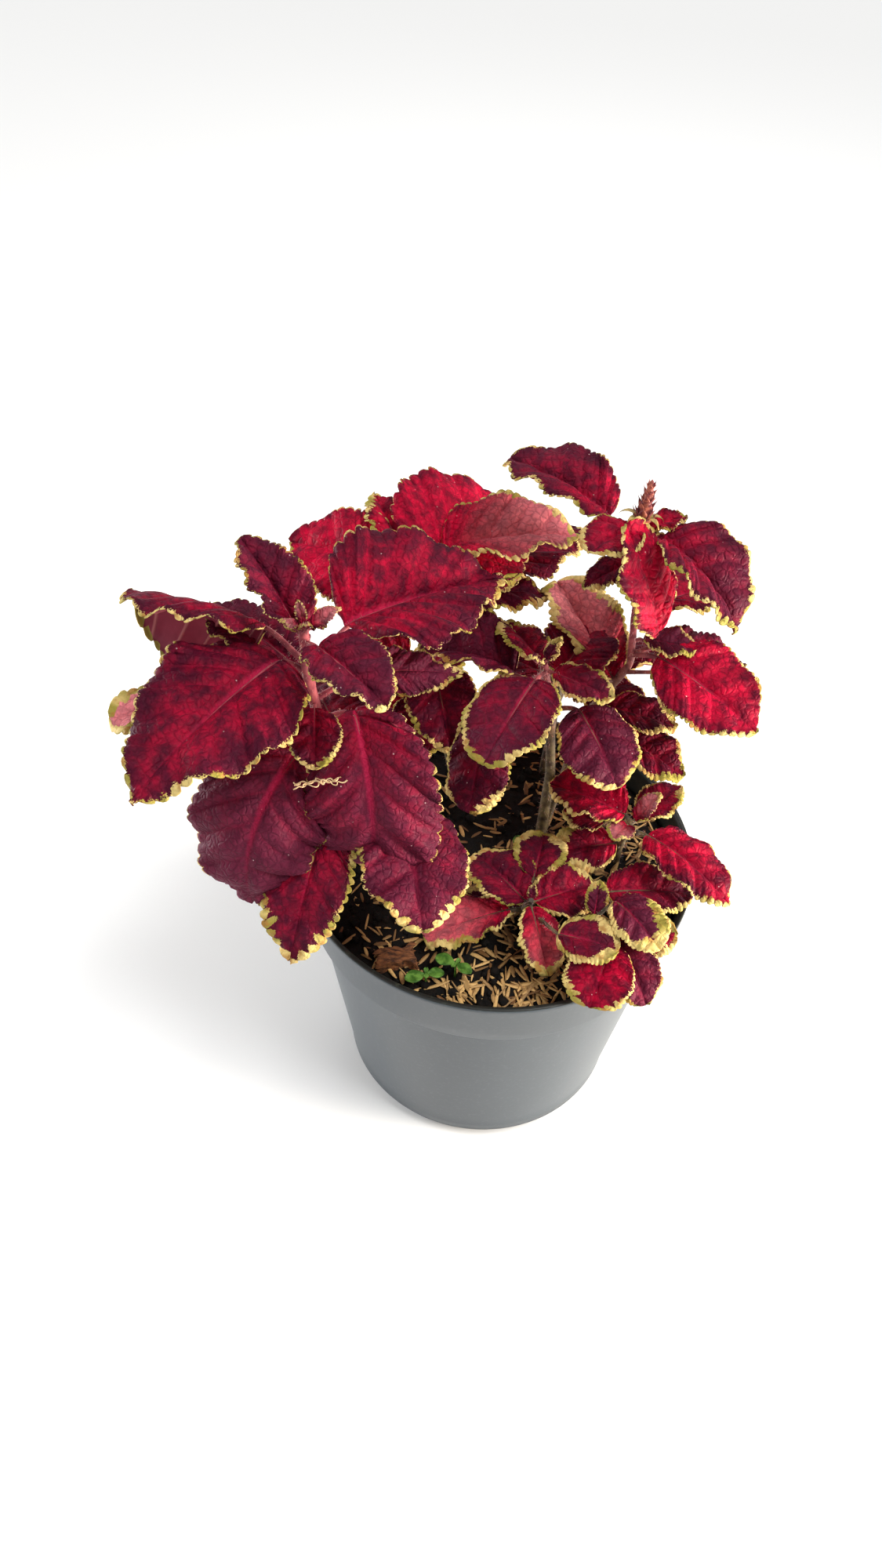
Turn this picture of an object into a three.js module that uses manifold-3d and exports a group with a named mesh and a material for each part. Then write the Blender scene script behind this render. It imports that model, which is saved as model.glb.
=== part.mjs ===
// Coleus in its pot: a thin moulded nursery pot, its soil and eight leafy stems.
// Millimetres, +Z up. The origin is the centre of the pot's flat underside.
// Each leaf is one arched blade with a scalloped edge, on a stalk of square section.
// All leaves of a stem are fused with it into one solid.
import * as THREE from "three";
import { mergeVertices } from "three/addons/utils/BufferGeometryUtils.js";
import Module from "manifold-3d";

const wasm = await Module();
wasm.setup();

// Driving dimensions of the pot
const RIM_RADIUS = 95;
const POT_HEIGHT = 156;
const RIM_BAND = 30; // height of the band under the rim
const BAND_STEP = 3; // how far the band stands out from the body
const BODY_RADIUS_TOP = 87;
const BODY_RADIUS_LOW = 73;
const FOOT_RADIUS = 67;
const FOOT_HEIGHT = 8;
const WALL = 1.6;
const FLOOR = 3;
const POT_SIDES = 32;
const DRAIN_HOLES = 6;
const DRAIN_RADIUS = 5;
const DRAIN_CIRCLE = 45;

// Driving dimensions of the filling
const SOIL_LEVEL = 143;
const GAP = 0.3; // clearance between pieces that touch
const ROOT_DEPTH = 118; // height at which the buried stems end
const HUSKS = 24;

// Driving dimensions of the plant
const BLADE_THICK = 0.8;
const STALK_WIDE = 1.8;
const STALK_RISE = 25; // degrees above level at which a leaf stalk leaves its stem
const WAVE = 1.2; // up and down swing of a blade's edge
const NOTCH = 0.87; // half width at a notch, as a share of that at a tooth
const THICK_STEM = 2.7;
const THIN_STEM = 1.9;

// A stem has a route of [x, y, height] points, and leaves of
// [height on the stem, turn, stalk, length, width, lift, droop, roll, cup, swing, tip].
// Turn is the compass angle from +X. Lift is the blade's mean slope, droop how far its midrib bends down
// from stalk to tip, roll its turn about the midrib (right side down), cup how far both halves are raised,
// swing the angle from the blade's turn to its stalk's, and tip how pointed it is: 0.8 is sharp, 0.4 blunt.
const STEMS = [
  {
    name: "left_stem",
    radius: THICK_STEM,
    route: [[-40, 8, 118], [-40, 8, 152], [-60, -6, 200], [-77, -20, 240], [-81, -25, 280], [-81, -28, 304]],
    leaves: [
      [302, 20, 3, 14, 10, 30, 10, 0, 20, 0, 0.8],
      [303, 200, 2, 9, 6, 40, 10, 0, 20, 0, 0.8],
      [304, 110, 2, 9, 5, 55, 10, 0, 20, 0, 0.8],
      [304, 290, 2, 8, 5, 50, 10, 0, 20, 0, 0.8],
      [298, 132, 4, 43, 29, 32, 16, 4, 32, 0, 0.7],
      [296, 312, 9, 43, 32, -2, 22, 0, 22, 0, 0.7],
      [280, 236, 12, 84, 62, -9, 26, -4, 4, -66, 0.9],
      [276, 38, 27, 92, 70, -9.5, 24, 13, 21, 22, 1.4],
      [284, 162, 22, 58, 60, 0, 20, 72, -43, -18, 0.45],
      [274, 140, 10, 50, 40, 4, 20, 10, 10, 0, 0.8],
      [262, 275, 6, 26, 22, -30, 20, 0, 5, 0, 0.6],
      [264, 22, 22, 46, 22, -17, 20, 36, -16, 0, 0.8],
      [252, 286, 16, 101, 57, -78, 150, 20, -6, 74, 0.6],
      [246, 192, 18, 68, 44, 8, 24, 0, 5, 0, 0.45],
      [238, 239, 14, 84, 60, -57, 106, -28, -20, -7, 0.6],
      [208, 254, 26, 75, 38, -42, 30, 0, 0, -7, 0.55],
      [196, 281, 32, 60, 50, -14, 34, -18, 4, 22, 0.65],
      [222, 110, 14, 50, 38, -15, 30, 0, 5, 0, 0.7],
      [215, 170, 14, 48, 36, -25, 30, 0, 5, 0, 0.7],
    ],
  },
  {
    name: "back_stem",
    radius: THICK_STEM,
    route: [[-20, 46, 118], [-20, 46, 152], [-32, 52, 210], [-42, 50, 260], [-44, 46, 280]],
    leaves: [
      [280, 20, 2, 14, 10, 40, 10, 0, 20, 0, 0.8],
      [280, 200, 2, 14, 10, 40, 10, 0, 20, 0, 0.8],
      [266, 150, 12, 58, 46, -5, 24, -30, 6, 0, 0.7],
      [274, 113, 8, 45, 23, 12, 20, 0, 20, 0, 0.7],
      [270, 58, 10, 72, 70, -2, 24, 24, 10, 0, 0.9],
      [270, 12, 22, 64, 48, 0, 26, 2, 20, 40, 0.75],
      [250, 44, 22, 84, 50, -3, 20, 0, 6, 0, 0.6],
      [256, 17, 16, 50, 34, -12, 20, 0, 6, 0, 0.7],
      [226, 285, 10, 44, 34, -28, 24, 0, 6, 0, 0.7],
      [206, 250, 10, 40, 30, -30, 24, 0, 6, 0, 0.7],
      [240, 110, 12, 62, 46, -20, 30, 0, 6, 0, 0.7],
      [222, 165, 12, 52, 40, -25, 30, 0, 6, 0, 0.7],
      [200, 100, 14, 42, 36, -25, 30, 0, 6, 0, 0.7],
    ],
  },
  {
    name: "middle_stem",
    radius: THICK_STEM,
    route: [[23, 13, 118], [23, 13, 152], [24, 15, 190], [21, 18, 225], [15, 17, 255]],
    branch: [[24, 15, 186], [38, 31, 212], [56, 37, 240], [52, 34, 290], [48, 30, 322]],
    bud: 318,
    leaves: [
      [255, 40, 2, 12, 8, 50, 10, 0, 20, 0, 0.8],
      [255, 220, 2, 10, 7, 45, 10, 0, 20, 0, 0.8],
      [250, 242, 14, 48, 41, -16, 22, 12, 4, 5, 0.55],
      [252, 118, 4, 32, 23, -4, 16, 12, 10, 0, 0.55],
      [250, 335, 4, 29, 21, -8, 16, 4, 6, 0, 0.55],
      [236, 160, 18, 47, 48, -2, 24, 2, 32, 0, 0.6],
      [220, 260, 34, 48, 30, -50, 20, 10, -10, -66, 0.4],
      [228, 298, 14, 41, 38, -25, 30, 0, 0, 40, 0.55],
      [236, 62, 12, 46, 36, 0, 24, 0, 8, 0, 0.8],
    ],
    branchLeaves: [
      [306, 140, 18, 54, 42, 4, 18, 2, 22, 0, 0.55],
      [316, 222, 4, 27, 25, -2, 20, 0, 6, 0, 0.5],
      [314, 15, 4, 16, 14, 10, 10, 0, 15, 0, 0.7],
      [310, 325, 9.6, 50, 44, -35, 50, 0, 26, -3, 0.7],
      [268, 152, 30, 50, 42, 64, 18, 0, 6, 130, 0.5],
      [296, 205, 6, 22, 16, -20, 20, 0, 10, 0, 0.7],
      [246, 325, 14, 55, 47, -18, 24, 10, 6, 0, 0.7],
      [254, 350, 5, 24, 20, -4, 10, 0, 10, 0, 0.5],
      [246, 5, 14, 44, 30, -20, 20, 0, 5, 0, 0.7],
      [232, 120, 2, 56, 38, 20, 18, 5, 22, 77, 0.4],
      [236, 330, 20, 26, 12, -70, 20, 0, 10, 0, 0.7],
      [216, 350, 8, 34, 26, -10, 20, 0, 8, 0, 0.6],
      [206, 335, 20, 38, 32, -20, 20, 0, 8, 0, 0.6],
      [280, 80, 10, 34, 28, -5, 24, 0, 12, 0, 0.7],
      [264, 40, 12, 50, 38, -15, 30, 0, 8, 0, 0.7],
      [226, 70, 12, 46, 36, -20, 30, 0, 8, 0, 0.7],
    ],
  },
  {
    name: "side_stem",
    radius: THIN_STEM,
    route: [[60, 2, 118], [60, 2, 152], [61, -6, 182]],
    leaves: [
      [182, 20, 2, 18, 11, 50, 10, 0, 10, 0, 0.6],
      [182, 160, 4, 38, 38, 7, 22, 0, 18, -29, 0.6],
      [180, 235, 2, 15, 13, 10, 20, 0, 10, 0, 0.6],
      [174, 318, 12, 50, 33, -12, 50, -10, 4, 0, 0.6],
      [176, 40, 8, 28, 20, 5, 20, 0, 10, 0, 0.7],
      [160, 195, 3, 30, 27, 0, 18, -10, 0, 0, 0.4],
      [166, 160, 12, 20, 18, 0, 12, 0, 6, 0, 0.6],
    ],
  },
  {
    name: "front_stem",
    radius: THIN_STEM,
    route: [[14, -37, 118], [14, -37, 152], [16, -42, 166]],
    leaves: [
      [165, 80, 1, 7, 5, 50, 10, 0, 10, 0, 0.8],
      [160, 132, 2, 34, 34, 4, 14, 8, 10, 0, 0.5],
      [160, 25, 3, 31, 27, -4, 16, 15, 6, 0, 0.4],
      [152, 197, 8, 42, 32, -11, 18, 16, 4, 0, 0.35],
      [162, 285, 3, 33, 24, -22, 20, -24, 8, 0, 0.5],
      [156, 340, 29, 28, 27, 4, 30, 0, 6, -43, 0.4],
      [158, 78, 14, 28, 26, 0, 16, 0, 8, 0, 0.4],
      [150, 160, 3, 26, 16, 0, 16, 0, 8, 0, 0.5],
    ],
  },
  {
    name: "low_stem",
    radius: THIN_STEM,
    route: [[44, -50, 118], [44, -50, 152], [43, -53, 168]],
    leaves: [
      [166, 80, 3, 16, 11, 30, 10, 0, 15, 0, 0.6],
      [158, 252, 16, 34, 30, -3, 24, 0, 5, 44, 0.35],
      [168, 310, 13, 30, 26, -12, 40, 0, 10, 87, 0.5],
      [160, 8, 18, 42, 30, -8, 24, 0, 5, 60, 0.6],
      [160, 5, 12, 29, 24, -8, 20, 20, 5, -40, 0.5],
      [158, 298, 17, 30, 25, -25, 50, 0, 5, 10, 0.5],
      [162, 320, 10, 15, 11, -20, 20, 0, 5, 0, 0.6],
    ],
  },
  {
    name: "rear_stem",
    radius: THIN_STEM,
    route: [[26, 62, 118], [26, 62, 152], [30, 70, 184], [30, 72, 204]],
    leaves: [
      [204, 60, 2, 16, 11, 40, 10, 0, 15, 0, 0.7],
      [204, 240, 2, 16, 11, 40, 10, 0, 15, 0, 0.7],
      [196, 150, 8, 40, 32, 0, 20, 0, 10, 0, 0.6],
      [196, 330, 8, 40, 32, 0, 20, 0, 10, 0, 0.6],
      [186, 60, 10, 50, 38, -10, 24, 0, 6, 0, 0.6],
      [172, 350, 12, 46, 36, -15, 24, 0, 6, 0, 0.6],
      [172, 110, 12, 48, 36, -15, 24, 0, 6, 0, 0.6],
    ],
  },
  {
    name: "rear_left_stem",
    radius: THIN_STEM,
    route: [[-56, 42, 118], [-56, 42, 152], [-64, 50, 180], [-66, 53, 204]],
    leaves: [
      [204, 50, 2, 16, 11, 40, 10, 0, 15, 0, 0.7],
      [204, 230, 2, 16, 11, 40, 10, 0, 15, 0, 0.7],
      [196, 140, 8, 42, 32, 0, 20, 0, 10, 0, 0.6],
      [184, 55, 10, 42, 32, -10, 24, 0, 6, 0, 0.6],
      [184, 215, 10, 44, 34, -15, 24, 0, 6, 0, 0.6],
      [170, 165, 12, 46, 34, -15, 24, 0, 6, 0, 0.6],
      [170, 95, 12, 44, 34, -15, 24, 0, 6, 0, 0.6],
    ],
  },
];

// Green seedlings: [x, y, height above the soil, turn]
const SEEDLINGS = [
  [-30, -73, 7, 200],
  [-17, -69, 10, 160],
  [14, -4, 14, 110],
];

const radians = THREE.MathUtils.degToRad;
const random = seededRandom(7);

function seededRandom(seed) {
  let state = seed;
  return () => {
    state = (state * 16807) % 2147483647;
    return state / 2147483647;
  };
}

// Closed geometry to manifold-3d solid
function solidOf(geometry) {
  const bare = geometry.clone();
  bare.deleteAttribute("normal");
  bare.deleteAttribute("uv");
  const merged = mergeVertices(bare, 1e-3);
  return new wasm.Manifold(
    new wasm.Mesh({
      numProp: 3,
      vertProperties: merged.attributes.position.array,
      triVerts: new Uint32Array(merged.index.array),
    }),
  );
}

function geometryOf(solid) {
  const mesh = solid.getMesh();
  const geometry = new THREE.BufferGeometry();
  geometry.setAttribute("position", new THREE.BufferAttribute(mesh.vertProperties, 3));
  geometry.setIndex(new THREE.BufferAttribute(mesh.triVerts, 1));
  geometry.computeVertexNormals();
  return geometry;
}

function fuse(solids) {
  return solids.reduce((all, one) => all.add(one));
}

// The unit vector at a compass turn and a slope, both in degrees
function direction(turn, slope) {
  const level = Math.cos(radians(slope));
  return new THREE.Vector3(
    level * Math.cos(radians(turn)),
    level * Math.sin(radians(turn)),
    Math.sin(radians(slope)),
  );
}

// The point at a height on a stem's route
function stemPoint(route, height) {
  const above = Math.max(1, route.findIndex((p) => p[2] >= height));
  const low = new THREE.Vector3(...route[above - 1]);
  const high = new THREE.Vector3(...route[above]);
  return low.lerp(high, (height - low.z) / (high.z - low.z));
}

// A round bar of a few sides along a smooth curve
function bar(points, radius, sides, steps) {
  const section = new THREE.Shape();
  for (let i = 0; i < sides; i++) {
    const angle = (2 * Math.PI * i) / sides;
    const corner = [radius * Math.cos(angle), radius * Math.sin(angle)];
    if (i === 0) section.moveTo(...corner);
    else section.lineTo(...corner);
  }
  section.closePath();
  const path = new THREE.CatmullRomCurve3(points, false, "centripetal");
  return solidOf(new THREE.ExtrudeGeometry(section, { steps, bevelEnabled: false, extrudePath: path }));
}

// Half width of a blade at a share of its length: broad near the stalk, pointed at the tip
function halfWidth(share, width, tip) {
  const widest = 0.5 / (0.5 + tip);
  const form = (at) => Math.sqrt(at) * Math.pow(1 - at, tip);
  return ((width / 2) * form(share)) / form(widest);
}

// Places on one leaf's blade: at(share, side, reach) is a point of its upper face and the normal there,
// where reach is the distance from the midrib and side is -1, 0 or 1.
function bladeForm(base, [, turn, , length, , lift, droop, roll, cup]) {
  const fine = 24;
  const spine = [base];
  for (let i = 0; i < fine; i++) {
    const slope = lift + droop * (0.5 - (i + 0.5) / fine);
    spine.push(spine[i].clone().addScaledVector(direction(turn, slope), length / fine));
  }
  function at(share, side, reach) {
    const slope = lift + droop * (0.5 - share);
    const ahead = direction(turn, slope);
    const up = direction(turn, slope + 90);
    const right = ahead.clone().cross(up);
    const tilt = radians(side * roll - (side ? cup : 0));
    const outward = right.clone().multiplyScalar(side * Math.cos(tilt)).addScaledVector(up, -Math.sin(tilt));
    const normal = up.clone().multiplyScalar(Math.cos(tilt)).addScaledVector(right, side * Math.sin(tilt));
    const place = Math.min(share * fine, fine - 1e-6);
    const point = spine[Math.floor(place)].clone().lerp(spine[Math.floor(place) + 1], place % 1);
    const sway = side * WAVE * Math.sin(9 * share + side + radians(turn)) * Math.sin(Math.PI * share);
    return {
      point: point.addScaledVector(outward, reach).addScaledVector(normal, (sway * reach * 2) / length),
      normal,
    };
  }
  return at;
}

function teethOf(length) {
  if (length > 52) return 5;
  if (length > 42) return 4;
  return length > 20 ? 3 : 2;
}

// A leaf: a stalk from inside the stem to the blade's base, then the blade with its teeth.
// Its underside repeats its upper side's triangles, so the two never cross.
function leafSolid(route, leaf) {
  const [height, turn, stalk, length, width, , , , , swing, tip] = leaf;
  const node = stemPoint(route, height);
  const along = direction(turn + swing, STALK_RISE);
  const base = node.clone().addScaledVector(along, stalk);
  const at = bladeForm(base, leaf);
  const half = (length > 20 ? STALK_WIDE : STALK_WIDE * 0.6) / 2;
  const upper = [];
  const lower = [];
  const add = (point, normal, thick) => {
    upper.push(point);
    lower.push(point.clone().addScaledVector(normal, -thick));
    return upper.length - 1;
  };
  const addBlade = (share, side, reach, thick = BLADE_THICK) => {
    const { point, normal } = at(share, side, reach);
    return add(point, normal, thick);
  };

  const above = direction(turn + swing, STALK_RISE + 90);
  const across = along.clone().cross(above);
  const centre = node.clone().addScaledVector(above, half);
  const [right, left] = [1, -1].map((side) => [
    add(centre.clone().addScaledVector(across, side * half), above, 2 * half),
    addBlade(0, side, half, 1.6 * half),
  ]);

  const teeth = teethOf(length);
  const spine = [addBlade(0, 0, 0, 1.6 * half)];
  for (let k = 1; k <= teeth; k++) spine.push(addBlade(k / teeth, 0, 0));
  const faces = [
    [left[0], right[0], right[1]],
    [left[0], right[1], spine[0]],
    [left[0], spine[0], left[1]],
  ];
  for (const [side, edge] of [[1, right], [-1, left]]) {
    for (let k = 0; k < teeth; k++) {
      const tooth = (k + 0.5) / teeth;
      const notch = (k + 1) / teeth;
      const from = edge[edge.length - 1];
      const peak = addBlade(tooth, side, halfWidth(tooth, width, tip));
      const dip = NOTCH * halfWidth(notch, width, tip);
      const to = k < teeth - 1 ? addBlade(notch, side, dip) : spine[teeth];
      edge.push(peak, to);
      const fan = [[spine[k], from, peak], [spine[k], peak, spine[k + 1]]];
      if (to !== spine[teeth]) fan.push([spine[k + 1], peak, to]);
      fan.forEach((face) => faces.push(side > 0 ? face : face.reverse()));
    }
  }

  const low = upper.length;
  const triangles = [];
  faces.forEach(([a, b, c]) => triangles.push([a, b, c], [low + a, low + c, low + b]));
  const outline = [...right, ...left.slice(0, -1).reverse()];
  outline.forEach((a, i) => {
    const b = outline[(i + 1) % outline.length];
    triangles.push([a, low + a, b], [b, low + a, low + b]);
  });
  const geometry = new THREE.BufferGeometry().setFromPoints([...upper, ...lower]);
  return solidOf(geometry.setIndex(triangles.flat()));
}

function stemSolid(route, radius) {
  const points = route.map((p) => new THREE.Vector3(...p));
  points.splice(1, 0, points[0].clone().setZ(SOIL_LEVEL + 4));
  const top = points[points.length - 1];
  const tip = new THREE.SphereGeometry(radius * 1.1, 8, 5).translate(top.x, top.y, top.z);
  return bar(points, radius, 8, 2 * points.length).add(solidOf(tip));
}

// The young flower spike: a slim core in whorls of small pointed bracts
function budSolid(route, height) {
  const foot = stemPoint(route, height);
  const long = 21;
  const profile = [[0, -3], [2.4, -2], [3, 4], [2.2, 12], [0.9, long - 3], [0, long]];
  const core = new THREE.LatheGeometry(profile.map(([r, h]) => new THREE.Vector2(r, h)), 8);
  const solids = [solidOf(core.rotateX(Math.PI / 2))];
  for (let ring = 0; ring < 5; ring++) {
    for (let i = 0; i < 4; i++) {
      const bract = new THREE.ConeGeometry(1.3, 6 - 0.6 * ring, 3).rotateX(Math.PI / 2);
      bract.translate(0, 0, 2);
      bract.rotateY(radians(52)).translate(2 - 0.25 * ring, 0, 2 + 3.5 * ring);
      bract.rotateZ(radians(90 * i + 45 * ring));
      solids.push(solidOf(bract));
    }
  }
  return fuse(solids).rotate([-8, 6, 0]).translate([foot.x, foot.y, foot.z]);
}

function plantSolid({ route, radius, leaves, branch, branchLeaves = [], bud }) {
  const solids = [stemSolid(route, radius)];
  leaves.forEach((leaf) => solids.push(leafSolid(route, leaf)));
  if (branch) solids.push(stemSolid(branch, THIN_STEM), budSolid(branch, bud));
  branchLeaves.forEach((leaf) => solids.push(leafSolid(branch, leaf)));
  return fuse(solids);
}

// A profile of [radius, height] points turned about the pot's axis
function turned(profile, sides) {
  const lathe = new THREE.LatheGeometry(profile.map(([r, h]) => new THREE.Vector2(r, h)), sides);
  return solidOf(lathe.rotateX(Math.PI / 2));
}

function cylinder(radius, low, high, x, y, sides) {
  const geometry = new THREE.CylinderGeometry(radius, radius, high - low, sides);
  return solidOf(geometry.rotateX(Math.PI / 2).translate(x, y, (low + high) / 2));
}

function potSolid() {
  const bandLow = POT_HEIGHT - RIM_BAND;
  const lowHeight = FOOT_HEIGHT + 14;
  const inner = (outer) => outer - WALL;
  const outside = [
    [0, 0],
    [DRAIN_CIRCLE - 14, 0],
    [DRAIN_CIRCLE - 12, 2],
    [FOOT_RADIUS - 6, 2],
    [FOOT_RADIUS - 5, 0],
    [FOOT_RADIUS, 0],
    [FOOT_RADIUS, FOOT_HEIGHT],
    [FOOT_RADIUS + 3, FOOT_HEIGHT + 0.6],
    [BODY_RADIUS_LOW - 1.6, FOOT_HEIGHT + 6],
    [BODY_RADIUS_LOW, lowHeight],
    [BODY_RADIUS_TOP, bandLow - 1],
    [BODY_RADIUS_TOP + BAND_STEP, bandLow + 1],
    [RIM_RADIUS - 1, POT_HEIGHT - 3],
    [RIM_RADIUS, POT_HEIGHT - 2],
    [RIM_RADIUS, POT_HEIGHT],
  ];
  const inside = [
    [inner(RIM_RADIUS - 1), POT_HEIGHT],
    [inner(BODY_RADIUS_TOP + BAND_STEP), bandLow + 2],
    [inner(BODY_RADIUS_TOP), bandLow],
    [inner(BODY_RADIUS_LOW), lowHeight],
    [inner(BODY_RADIUS_LOW) - 3, FOOT_HEIGHT + FLOOR],
    [FOOT_RADIUS - 4, 2 + FLOOR],
    [0, 2 + FLOOR],
  ];
  let pot = turned([...outside, ...inside], POT_SIDES);
  for (let i = 0; i < DRAIN_HOLES; i++) {
    const angle = radians((360 / DRAIN_HOLES) * i + 30);
    const x = DRAIN_CIRCLE * Math.cos(angle);
    const y = DRAIN_CIRCLE * Math.sin(angle);
    pot = pot.subtract(cylinder(DRAIN_RADIUS, -5, 20, x, y, 10));
  }
  return pot;
}

// The soil: a plug that fits the pot, with plain holes for the stems and husk slivers sunk in its top
function soilSolid() {
  const bandLow = POT_HEIGHT - RIM_BAND;
  const fit = WALL + GAP + 0.3;
  const edge = BODY_RADIUS_TOP + BAND_STEP - fit + 1.5;
  const profile = [
    [0, 2 + FLOOR + GAP],
    [FOOT_RADIUS - 4.5, 2 + FLOOR + GAP],
    [BODY_RADIUS_LOW - fit - 3, FOOT_HEIGHT + FLOOR + 1],
    [BODY_RADIUS_LOW - fit, FOOT_HEIGHT + 15],
    [BODY_RADIUS_TOP - fit, bandLow],
    [BODY_RADIUS_TOP + BAND_STEP - fit, bandLow + 4],
    [edge, SOIL_LEVEL - 1.5],
    [edge - 8, SOIL_LEVEL - 0.4],
    [edge - 26, SOIL_LEVEL + 0.8],
    [edge - 48, SOIL_LEVEL + 0.2],
    [0, SOIL_LEVEL + 1.2],
  ];
  let soil = turned(profile, POT_SIDES);
  soil = soil.add(fuse(huskSolids(edge - 7)));
  for (const { route, radius } of STEMS) {
    const [x, y] = route[0];
    soil = soil.subtract(cylinder(radius + GAP, ROOT_DEPTH - GAP, POT_HEIGHT, x, y, 10));
  }
  for (const [x, y] of SEEDLINGS) {
    soil = soil.subtract(cylinder(1.3, SOIL_LEVEL - 6.3, POT_HEIGHT, x, y, 8));
  }
  return soil.subtract(barkBed());
}

// Flat slivers lying every way in the soil surface, half sunk, none of them standing free
function huskSolids(reach) {
  const slivers = [];
  for (let i = 0; i < HUSKS; i++) {
    const out = reach * Math.sqrt((i + 0.5) / HUSKS) * (0.9 + 0.1 * random());
    const angle = radians(i * 137.5 + 12 * random());
    const sliver = new THREE.OctahedronGeometry(1).scale(5 + 3 * random(), 1.2, 1.5);
    sliver.rotateY(radians(10 * (random() - 0.5))).rotateZ(random() * Math.PI * 2);
    sliver.translate(out * Math.cos(angle), out * Math.sin(angle), SOIL_LEVEL + 0.6 - 1.2 * (out / reach) ** 4);
    slivers.push(solidOf(sliver));
  }
  return slivers;
}

const BARK = { x: -44, y: -62, long: 19, wide: 12, thick: 7, turn: 12 };

function barkBox(grow) {
  const box = new THREE.BoxGeometry(BARK.long + grow, BARK.wide + grow, BARK.thick + grow);
  const shift = [BARK.x, BARK.y, SOIL_LEVEL + 2];
  return solidOf(box.rotateZ(radians(BARK.turn)).translate(...shift));
}

function barkBed() {
  return barkBox(2 * GAP);
}

// The chip: a split block, its top broken into ridges along the grain
function barkSolid() {
  let chip = barkBox(0);
  for (let i = -1; i <= 1; i++) {
    const groove = new THREE.CylinderGeometry(1.2, 1.2, BARK.long + 6, 4).rotateZ(Math.PI / 2);
    groove.translate(0, 3.6 * i, BARK.thick / 2 + 0.5).rotateZ(radians(BARK.turn + 6 * i));
    chip = chip.subtract(solidOf(groove.translate(BARK.x, BARK.y, SOIL_LEVEL + 2)));
  }
  return chip;
}

// A seedling: a thread-like stem with two oval seed leaves
function seedlingSolid([x, y, high, turn]) {
  const route = [[x, y, SOIL_LEVEL - 6], [x, y, SOIL_LEVEL + high]];
  const stem = cylinder(0.8, SOIL_LEVEL - 6, SOIL_LEVEL + high, x, y, 6);
  const seedLeaf = [9, 6, 5, 14, 0, 8, 0, 0.8];
  const pair = [0, 170].map((more) => leafSolid(route, [SOIL_LEVEL + high - 1, turn + more, 2, ...seedLeaf]));
  return fuse([stem, ...pair]);
}

function material(color, roughness, side) {
  return new THREE.MeshStandardMaterial({ color, roughness, metalness: 0, side: side ?? THREE.FrontSide });
}

const group = new THREE.Group();

function place(name, solid, finish) {
  const mesh = new THREE.Mesh(geometryOf(solid), finish);
  mesh.name = name;
  group.add(mesh);
}

const leafFinish = material("#7d1f33", 0.75);
place("pot", potSolid(), material("#757a7e", 0.5));
place("soil", soilSolid(), material("#211a14", 0.95));
place("bark_chip", barkSolid(), material("#8a5a36", 0.9));
SEEDLINGS.forEach((seedling, i) => {
  place(`seedling_${i + 1}`, seedlingSolid(seedling), material("#4f8a3a", 0.6));
});
for (const stem of STEMS) place(stem.name, plantSolid(stem), leafFinish);

export default group;
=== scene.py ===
# A young coleus in its nursery pot, dressed for a studio picture.
# Blender works in metres here; the tables are in millimetres and mm turns one into the other.
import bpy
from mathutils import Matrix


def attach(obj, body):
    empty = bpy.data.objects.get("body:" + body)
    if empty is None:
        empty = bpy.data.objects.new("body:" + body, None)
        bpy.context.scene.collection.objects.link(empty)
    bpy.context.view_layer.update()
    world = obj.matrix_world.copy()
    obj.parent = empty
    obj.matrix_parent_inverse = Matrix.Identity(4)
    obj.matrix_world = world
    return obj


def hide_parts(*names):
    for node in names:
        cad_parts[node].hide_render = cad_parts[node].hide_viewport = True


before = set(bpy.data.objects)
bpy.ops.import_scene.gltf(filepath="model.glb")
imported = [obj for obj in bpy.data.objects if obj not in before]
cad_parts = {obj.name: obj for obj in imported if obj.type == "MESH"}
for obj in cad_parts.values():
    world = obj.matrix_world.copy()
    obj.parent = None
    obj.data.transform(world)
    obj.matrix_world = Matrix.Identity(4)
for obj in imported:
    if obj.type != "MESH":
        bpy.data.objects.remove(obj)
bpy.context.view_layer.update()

import math
import random

import bmesh
import bpy
from mathutils import Matrix, Vector, noise

mm = 0.001
scene = bpy.context.scene
rgba = {"output": 2, "data_type": "RGBA"}  # a mix node for colours; 6 and 7 are its colour sockets
eased = {"interpolation_type": "SMOOTHSTEP"}
print("coleus: frame loaded,", len(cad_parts), "nodes")


def linear(code):  # "#rrggbb" to linear light
    parts = [int(code[i:i + 2], 16) / 255 for i in (1, 3, 5)]
    return [c / 12.92 if c <= 0.04045 else ((c + 0.055) / 1.055) ** 2.4 for c in parts] + [1.0]


def addNode(tree, kind, sockets=(), output=0, **settings):  # a socket takes a value or another node's output
    made = tree.nodes.new("ShaderNode" + kind)
    for name, value in settings.items():
        setattr(made, name, value)
    for name, value in sockets.items() if isinstance(sockets, dict) else enumerate(sockets):
        if isinstance(value, bpy.types.NodeSocket):
            tree.links.new(value, made.inputs[name])
        else:
            made.inputs[name].default_value = value
    return made.outputs[output]


def startMaterial(name, **shader):
    made = bpy.data.materials.new(name)
    made.use_nodes = True
    tree = made.node_tree
    surface = tree.nodes["Principled BSDF"].inputs
    for socket, value in shader.items():
        surface[socket.replace("_", " ")].default_value = value
    return made, tree, addNode(tree, "TexCoord", output="Object")


def colour(made, body, relief=None, strength=0, depth=0, rough=None):  # depth of the relief in mm
    tree = made.node_tree
    surface = tree.nodes["Principled BSDF"].inputs
    tree.links.new(body, surface["Base Color"])
    if relief:
        bump = addNode(tree, "Bump", {"Strength": strength, "Distance": depth * mm, "Height": relief})
        tree.links.new(bump, surface["Normal"])
    if rough:
        tree.links.new(rough, surface["Roughness"])
    return made


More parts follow.
